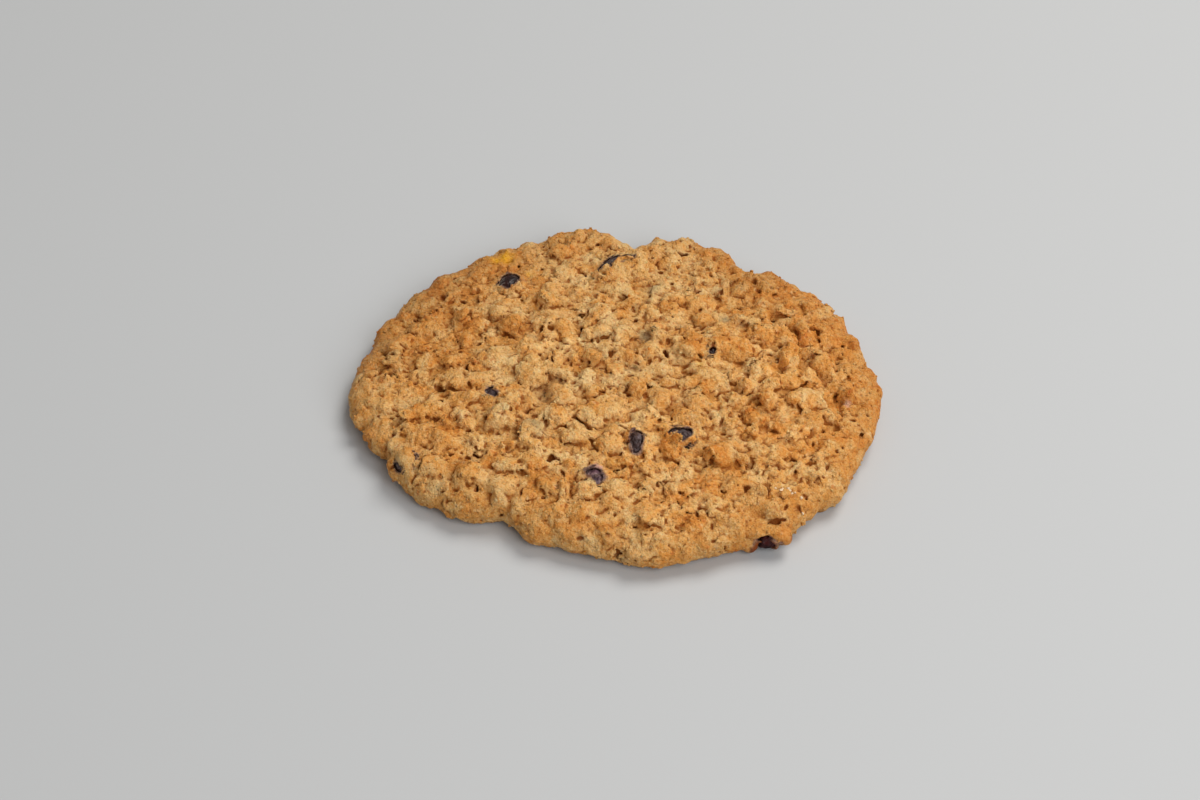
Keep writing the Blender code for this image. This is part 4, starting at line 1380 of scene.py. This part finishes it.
def make_sugar(dough):
    """Coarse white sugar grains on the near right slope."""
    chance = np.random.default_rng(91)
    corners = np.array([(a, b, c) for a in (-1, 1) for b in (-1, 1) for c in (-1, 1)], float)
    sides = np.array(
        (
            (0, 1, 3, 2),
            (4, 6, 7, 5),
            (0, 4, 5, 1),
            (2, 3, 7, 6),
            (0, 2, 6, 4),
            (1, 5, 7, 3),
        )
    )
    points, faces = [], []
    for x, y, count in SUGAR:
        for _ in range(count):
            spot = np.array((x, y)) + chance.normal(0.0, 0.4, 2)
            top = dough.surface_height(*spot)
            half = chance.uniform(0.14, 0.29, 3)
            if top <= WIDEST_HEIGHT:
                continue
            turned = np.array(
                Euler(tuple(chance.uniform(-0.6, 0.6, 2)) + (chance.uniform(0, 3.1),)).to_matrix()
            )
            at = np.array((*spot, top + 0.2))
            faces.append(sides + 8 * len(points))
            points.append((corners * half) @ turned.T + at)
    return mesh_from("sugar_grains", np.concatenate(points), np.concatenate(faces))


def make_berry(index, dough):
    name, along, across, up, turn, pitch, roll = BERRIES[index]
    shaping = bmesh.new()
    bmesh.ops.create_icosphere(shaping, subdivisions=6, radius=1.0)
    turned = Euler(
        (math.radians(roll), math.radians(pitch), math.radians(turn)), "XYZ"
    ).to_matrix()
    middle = Vector(CENTRES[index])
    for point in shaping.verts:
        way = point.co.normalized()
        folds = noise.noise(way * 2.6 + Vector((index * 7.3, 1.7, 4.1)))
        ridge = 1.0 - abs(noise.noise(way * 1.9 + Vector((3.1, index * 5.9, 8.2))))
        deep = abs(noise.noise(way * 2.9 + Vector((5.5, 2.0, index * 4.7))))
        fine = abs(noise.noise(way * 6.3 + Vector((index * 3.3, 9.1, 2.2))))
        calmer = 0.3 if index == 0 else 1.0
        deep, fine = 0.32 - calmer * (0.32 - deep), 0.25 - calmer * (0.25 - fine)
        swell = 1.0 - BERRY_WRINKLE / up * (0.9 * calmer * folds + ridge)
        swell -= 0.16 * max(0.0, 0.32 - deep) + 0.06 * max(0.0, 0.25 - fine)
        if name == "cranberry_rim_right":
            swell *= 1.0 - 0.36 * max(0.0, (turned @ way).dot(BARE_SIDE))
            swell *= 1.0 - 0.35 * max(0.0, (turned @ way).dot(LIP_SIDE))
        point.co = Vector((way.x * along, way.y * across, way.z * up)) * swell
        point.co = (turned @ point.co + middle) * MM
    mesh = bpy.data.meshes.new(name + "_skin")
    shaping.to_mesh(mesh)
    shaping.free()
    flat = np.zeros(len(mesh.vertices) * 3, np.float32)
    mesh.vertices.foreach_get("co", flat)
    # A painted glint on each berry's -X side, strongest on the far left berry.
    across_x = flat.reshape(-1, 3)[:, 0] / MM - CENTRES[index][0]
    left = {"cranberry_far_left": 0.7, "cranberry_rim_right": 0.0}.get(name, 0.3)
    write_attribute(mesh, "painted_glint", left * step_up(-0.5, -2.2, across_x))
    return mesh


# ---- Materials -------------------------------------------------------------------
def rgb(red, green, blue):
    """A colour as 0..255 screen values, as Blender wants it."""
    made = []
    for value in (red, green, blue):
        v = value / 255.0
        made.append(v / 12.92 if v <= 0.04045 else ((v + 0.055) / 1.055) ** 2.4)
    return (*made, 1.0)


class Look:
    """Builds a material's nodes from left to right."""

    def __init__(self, name):
        self.material = bpy.data.materials.new(name)
        self.material.use_nodes = True
        self.tree = self.material.node_tree
        self.shader = self.tree.nodes["Principled BSDF"]
        self.place = self.tree.nodes.new("ShaderNodeTexCoord").outputs["Object"]

    def link(self, value, socket):
        if isinstance(value, bpy.types.NodeSocket):
            self.tree.links.new(value, socket)
        else:
            socket.default_value = value

    def attribute(self, name):
        node = self.tree.nodes.new("ShaderNodeAttribute")
        node.attribute_name = name
        return node.outputs["Fac"]

    def math(self, kind, a, b=0.0, c=0.0, clamp=False):
        node = self.tree.nodes.new("ShaderNodeMath")
        node.operation = kind
        node.use_clamp = clamp
        for value, socket in zip((a, b, c), node.inputs):
            self.link(value, socket)
        return node.outputs[0]

    def between(self, value, low, high, to_low=0.0, to_high=1.0, smooth=True):
        node = self.tree.nodes.new("ShaderNodeMapRange")
        node.interpolation_type = "SMOOTHSTEP" if smooth else "LINEAR"
        for number, name in zip(
            (value, low, high, to_low, to_high),
            ("Value", "From Min", "From Max", "To Min", "To Max"),
        ):
            self.link(number, node.inputs[name])
        return node.outputs[0]

    def noise(self, size, detail=2.0, rough=0.5, shift=0.0, distortion=0.0):
        """Noise whose features are about size millimetres across."""
        node = self.tree.nodes.new("ShaderNodeTexNoise")
        node.noise_dimensions = "4D"
        self.link(self.place, node.inputs["Vector"])
        node.inputs["W"].default_value = shift
        node.inputs["Scale"].default_value = 1.0 / (size * MM)
        node.inputs["Detail"].default_value = detail
        node.inputs["Roughness"].default_value = rough
        node.inputs["Distortion"].default_value = distortion
        return node.outputs["Fac"]

    def cells(self, size, feature="F1", random=1.0, vector=None):
        node = self.tree.nodes.new("ShaderNodeTexVoronoi")
        node.feature = feature
        self.link(vector or self.place, node.inputs["Vector"])
        node.inputs["Scale"].default_value = 1.0 / (size * MM)
        node.inputs["Randomness"].default_value = random
        return node

    def bent_cells(self, size, bend):
        """Distance from the middle of each small grain, the grains' outlines bent by noise."""
        waves = self.tree.nodes.new("ShaderNodeTexNoise")
        self.link(self.place, waves.inputs["Vector"])
        waves.inputs["Scale"].default_value = 1.0 / (0.9 * size * MM)
        waves.inputs["Detail"].default_value = 2.0
        shift = self.tree.nodes.new("ShaderNodeVectorMath")
        shift.operation = "MULTIPLY_ADD"
        self.link(waves.outputs["Color"], shift.inputs[0])
        shift.inputs[1].default_value = (bend * MM,) * 3
        self.link(self.place, shift.inputs[2])
        grains = self.cells(size, "SMOOTH_F1", vector=shift.outputs[0])
        grains.inputs["Smoothness"].default_value = 0.6
        return grains.outputs["Distance"]

    def mix(self, share, a, b, kind="MIX"):
        node = self.tree.nodes.new("ShaderNodeMix")
        node.data_type = "RGBA"
        node.blend_type = kind
        self.link(share, node.inputs[0])
        self.link(a, node.inputs[6])
        self.link(b, node.inputs[7])
        return node.outputs[2]

    def ramp(self, value, stops):
        node = self.tree.nodes.new("ShaderNodeValToRGB")
        line = node.color_ramp
        while len(line.elements) < len(stops):
            line.elements.new(0.5)
        for element, (at, colour) in zip(line.elements, stops):
            element.position = at
            element.color = colour
        self.link(value, node.inputs[0])
        return node.outputs[0]

    def bump(self, height, distance, strength, normal=None):
        node = self.tree.nodes.new("ShaderNodeBump")
        node.inputs["Strength"].default_value = strength
        node.inputs["Distance"].default_value = distance * MM
        self.link(height, node.inputs["Height"])
        if normal is not None:
            self.link(normal, node.inputs["Normal"])
        return node.outputs[0]


def dough_look(name, fine=False):
    look = Look(name)
    m = look.math
    tone = look.attribute("tone")
    toast = look.attribute("toast")
    crease_brown_and_shade = look.attribute("crease_brown_and_shade")
    hollow_brown_and_shade = look.attribute("hollow_brown_and_shade")
    raised = look.attribute("raised")
    pit_brown_and_shade = look.attribute("pit_brown_and_shade")
    foot = look.attribute("foot")
    broad = look.noise(9.0, 2.0, 0.5, 1.0)
    middle = look.noise(2.4, 3.0, 0.55, 2.0)
    grain = look.noise(0.7, 3.0, 0.6, 3.0)

    level = m("MULTIPLY_ADD", tone, 0.28, 0.28)
    level = m("MULTIPLY_ADD", toast, 0.30, level)
    level = m("MULTIPLY_ADD", raised, 0.05, level)
    level = m("MULTIPLY_ADD", broad, 0.30, m("SUBTRACT", level, 0.15))
    level = m("MULTIPLY_ADD", middle, 0.36, m("SUBTRACT", level, 0.18))
    level = m("MULTIPLY_ADD", grain, 0.60, m("SUBTRACT", level, 0.30))
    fine = look.noise(0.33, 2.0, 0.6, 31.0)
    level = m("MULTIPLY_ADD", fine, 0.70, m("SUBTRACT", level, 0.33), clamp=True)
    colour = look.ramp(
        level,
        (
            (0.00, rgb(240, 199, 136)),
            (0.22, rgb(232, 179, 109)),
            (0.42, rgb(224, 158, 80)),
            (0.62, rgb(212, 138, 56)),
            (0.82, rgb(190, 112, 38)),
            (1.00, rgb(152, 81, 20)),
        ),
    )

    warm = m("MULTIPLY_ADD", tone, 0.34, m("MULTIPLY", toast, 0.75))
    warm = m("ADD", warm, m("SUBTRACT", look.noise(6.0, 2.0, 0.5, 14.0), 0.5))
    shy = look.between(warm, 0.25, -0.55, 0.0, 0.8)
    colour = look.mix(shy, colour, (0.97, 1.02, 1.04, 1.0), "MULTIPLY")
    hot = look.between(warm, 0.05, 0.95, 0.0, 1.0)
    colour = look.mix(hot, colour, (1.05, 0.89, 0.73, 1.0), "MULTIPLY")

    freckle = look.between(look.noise(1.7, 1.0, 0.5, 8.0), 0.63, 0.74)
    colour = look.mix(m("MULTIPLY", freckle, 0.5), colour, rgb(196, 104, 40))
    pale = look.between(look.noise(1.3, 2.0, 0.5, 12.0), 0.60, 0.72)
    colour = look.mix(m("MULTIPLY", pale, 0.42), colour, rgb(243, 206, 147))
    nubs = look.bent_cells(1.15, 0.6)
    grains = look.bent_cells(0.55, 0.3)
    # The dim mottle and the grain borders sink in the bump below; their darker colour is partly random tone
    # and partly painted shade in those dips.
    dim = look.between(look.noise(0.9, 2.0, 0.6, 17.0), 0.50, 0.70)
    colour = look.mix(m("MULTIPLY", dim, 0.38), colour, rgb(166, 94, 26))
    colour = look.mix(
        m("MULTIPLY", look.between(grains, 0.45, 0.85), 0.15), colour, rgb(152, 86, 26)
    )
    bright = look.between(look.noise(0.9, 1.0, 0.5, 23.0), 0.56, 0.74)
    colour = look.mix(m("MULTIPLY", bright, 0.33), colour, rgb(246, 198, 125))
    # Painted shade and painted light from the shade attribute, besides the browner rim.
    colour = look.mix(1.0, colour, look.attribute("shade"), "MULTIPLY")

    # Hollows and creases are darkened and browned: browner crust there, and painted shade.
    low = look.between(hollow_brown_and_shade, -0.05, 0.55)
    colour = look.mix(m("MULTIPLY", low, 0.55), colour, rgb(174, 107, 30))
    dark = look.between(m("MULTIPLY_ADD", grain, 0.3, crease_brown_and_shade), 0.20, 0.80)
    colour = look.mix(m("MULTIPLY", dark, 0.85), colour, rgb(148, 74, 0))

    yellow = m("MULTIPLY", look.attribute("yellow"), look.between(grain, 0.3, 0.6, 0.6, 1.0))
    colour = look.mix(yellow, colour, rgb(236, 172, 22))
    grey = m("MULTIPLY", look.attribute("grey"), look.between(middle, 0.2, 0.5))
    colour = look.mix(m("MULTIPLY", grey, 0.8), colour, rgb(146, 134, 100))
    haze = look.mix(look.between(grain, 0.38, 0.62), rgb(134, 108, 100), rgb(82, 60, 68))
    purple = m("MULTIPLY_ADD", look.attribute("purple"), 1.5, m("SUBTRACT", middle, 0.85))
    purple = look.between(purple, 0.0, 0.7)
    colour = look.mix(m("MULTIPLY", purple, 0.85), colour, haze)
    film = m("MULTIPLY_ADD", look.attribute("film"), 1.3, m("SUBTRACT", middle, 0.65))
    film = look.between(film, 0.0, 0.9)
    colour = look.mix(m("MULTIPLY", film, 0.9), colour, haze)
    # Pinkish white patches; at the near berry's top edge a painted highlight.
    pink = m("MULTIPLY_ADD", look.attribute("pink"), 1.4, m("SUBTRACT", grain, 0.8))
    pink = look.between(pink, 0.0, 0.6)
    colour = look.mix(m("MULTIPLY", pink, 0.8), colour, rgb(222, 172, 150))

    # Pits are darkened to deep brown: the crust's colour there, and painted shade inside the holes.
    colour = look.mix(look.between(pit_brown_and_shade, 0.05, 0.95), colour, rgb(136, 66, 4))

    # Tiny dark specks for pits: painted shade, with a slight dent in the bump below.
    dots = look.cells(0.95)
    chosen = look.between(dots.outputs["Color"], 0.72, 0.74)
    speck = m(
        "MULTIPLY",
        look.between(dots.outputs["Distance"], 0.19, 0.09),
        chosen,
    )
    colour = look.mix(m("MULTIPLY", speck, 0.75), colour, rgb(96, 50, 18))

    baked = look.mix(
        look.between(look.noise(4.0, 3.0, 0.6, 20.0), 0.35, 0.65),
        rgb(150, 88, 38),
        rgb(112, 60, 24),
    )
    colour = look.mix(m("MULTIPLY", foot, 0.85), colour, baked)
    look.link(colour, look.shader.inputs["Base Color"])

    rough = look.between(fine, 0.3, 0.7, 0.42, 0.75)
    look.link(rough, look.shader.inputs["Roughness"])
    look.shader.inputs["Specular IOR Level"].default_value = 0.22
    look.shader.inputs["Subsurface Weight"].default_value = 0.15
    look.shader.inputs["Subsurface Radius"].default_value = (1.0, 0.5, 0.2)
    look.shader.inputs["Subsurface Scale"].default_value = 0.0012

    normal = look.bump(m("MULTIPLY", nubs, -1.0), 0.32, 0.8)
    normal = look.bump(m("MULTIPLY", grains, -1.0), 0.26, 0.9, normal)
    normal = look.bump(look.noise(0.8, 2.0, 0.6, 43.0), 0.52, 0.8, normal)
    normal = look.bump(look.noise(0.4, 3.0, 0.7, 5.0), 0.34, 1.0, normal)
    normal = look.bump(look.noise(0.25, 1.0, 0.5, 47.0), 0.16, 0.8, normal)
    normal = look.bump(m("MULTIPLY", dim, -1.0), 0.18, 0.6, normal)
    normal = look.bump(m("MULTIPLY", speck, -1.0), 0.25, 0.6, normal)
    look.link(normal, look.shader.inputs["Normal"])
    return look.material


def fruit_look(name, skin, deep, bloom_and_sheen, bloom_and_sheen_share, shine, gloss=0.4):
    look = Look(name)
    m = look.math
    patch = look.noise(2.2, 3.0, 0.55, 4.0)
    fine = look.noise(0.5, 3.0, 0.6, 6.0)
    colour = look.mix(look.between(patch, 0.35, 0.65), skin, deep)
    # Pale patches of bloom on the skin, partly painted sheen.
    bloom_and_sheen_patches = look.between(look.noise(1.3, 3.0, 0.6, 9.0), 0.46, 0.70)
    colour = look.mix(m("MULTIPLY", bloom_and_sheen_patches, bloom_and_sheen_share), colour, bloom_and_sheen)
    # Pale grey painted glint on the berries' -X side.
    painted_glint = m("MULTIPLY", look.attribute("painted_glint"), look.between(fine, 0.45, 0.62))
    colour = look.mix(painted_glint, colour, rgb(176, 164, 152))
    look.link(colour, look.shader.inputs["Base Color"])
    look.link(
        look.between(patch, 0.3, 0.7, shine, shine + 0.2), look.shader.inputs["Roughness"]
    )
    look.shader.inputs["Specular IOR Level"].default_value = gloss
    normal = look.bump(look.noise(1.1, 2.0, 0.5, 7.0), 0.35, 0.5)
    normal = look.bump(fine, 0.12, 0.5, normal)
    look.link(normal, look.shader.inputs["Normal"])
    return look.material


def sugar_look():
    look = Look("sugar")
    grain = look.noise(0.3, 2.0, 0.5, 2.0)
    colour = look.mix(grain, rgb(232, 192, 140), rgb(250, 232, 202))
    look.link(colour, look.shader.inputs["Base Color"])
    look.link(look.between(grain, 0.3, 0.7, 0.12, 0.3), look.shader.inputs["Roughness"])
    look.link(look.bump(grain, 0.05, 0.4), look.shader.inputs["Normal"])
    return look.material


# ---- Putting it together ------------------------------------------------------------
dough_mesh, dough = make_dough()
crust = dough_look("oat_crust")
cookie = place("dough", dough_mesh, crust)
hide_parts("cookie")
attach(cookie, "root")

crumbs = place("crumbs", make_crumbs(dough_mesh, dough), crust)
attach(crumbs, "root")

sugar = place("sugar_grains", make_sugar(dough), sugar_look())
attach(sugar, "root")

dark_skin = fruit_look(
    "cranberry_dark", rgb(72, 48, 44), rgb(44, 27, 24), rgb(120, 104, 106), 0.6, 0.32, 0.3
)
pale_skin = fruit_look(
    "cranberry_pale", rgb(106, 74, 84), rgb(68, 46, 56), rgb(194, 158, 152), 0.8, 0.35
)
glossy_skin = fruit_look(
    "cranberry_glossy", rgb(50, 18, 11), rgb(25, 9, 6), rgb(68, 36, 27), 0.2, 0.14, 0.24
)
red_skin = fruit_look(
    "cranberry_red", rgb(62, 15, 13), rgb(26, 8, 8), rgb(92, 38, 32), 0.25, 0.3, 0.15
)
SKINS = {
    "cranberry_far_left": glossy_skin,
    "cranberry_near": pale_skin,
    "cranberry_rim_right": red_skin,
    "cranberry_middle": glossy_skin,
}
for number, (node, *_) in enumerate(BERRIES):
    skin = SKINS.get(node, dark_skin)
    berry = place(node + "_skin", make_berry(number, dough), skin)
    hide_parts(node)
    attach(berry, "root")

# ---- Stage ----------------------------------------------------------------------------
floor_mesh = bpy.data.meshes.new("floor")
floor_mesh.from_pydata(
    [(-4.0, -4.0, 0.0), (4.0, -4.0, 0.0), (4.0, 4.0, 0.0), (-4.0, 4.0, 0.0)],
    [],
    [(0, 1, 2, 3)],
)
floor_look = Look("floor_paper")
floor_look.shader.inputs["Base Color"].default_value = rgb(190, 191, 191)
floor_look.shader.inputs["Roughness"].default_value = 0.6
floor = place("floor", floor_mesh, floor_look.material)

ROLL = math.radians(3.215)
CR, SR = math.cos(ROLL), math.sin(ROLL)
camera = bpy.data.objects.new("camera", bpy.data.cameras.new("camera"))
camera.data.lens = 66.0
camera.data.sensor_width = 36.0
camera.data.clip_start = 0.02
camera.data.clip_end = 20.0
right = Vector((CR, SR * 0.6826, SR * 0.7308))
upward = Vector((-SR, CR * 0.6826, CR * 0.7308))
back = right.cross(upward)
place_matrix = [
    [right[row], upward[row], back[row], (-0.00346, -0.3982, 0.3714)[row]]
    for row in range(3)
] + [[0.0, 0.0, 0.0, 1.0]]
camera.matrix_world = Matrix(place_matrix)
bpy.context.scene.collection.objects.link(camera)
bpy.context.scene.camera = camera


def area_light(name, spot, aim, size, power, colour):
    lamp = bpy.data.lights.new(name, "AREA")
    lamp.shape = "DISK"
    lamp.size = size
    lamp.energy = power
    lamp.color = colour
    holder = bpy.data.objects.new(name, lamp)
    holder.location = spot
    way = Vector(aim) - Vector(spot)
    holder.rotation_euler = way.to_track_quat("-Z", "Y").to_euler()
    bpy.context.scene.collection.objects.link(holder)


area_light("key", (0.45, 0.55, 1.1), (0.0, 0.0, 0.0), 0.8, 10.3, (1.0, 0.98, 0.95))
area_light("fill", (0.7, -0.85, 0.9), (0.0, 0.0, 0.0), 1.2, 12.0, (0.97, 0.98, 1.0))

world = bpy.data.worlds.new("studio")
world.use_nodes = True
world.node_tree.nodes["Background"].inputs["Color"].default_value = (1.0, 0.99, 0.98, 1.0)
world.node_tree.nodes["Background"].inputs["Strength"].default_value = 0.29
bpy.context.scene.world = world
bpy.context.scene.view_settings.view_transform = "Standard"
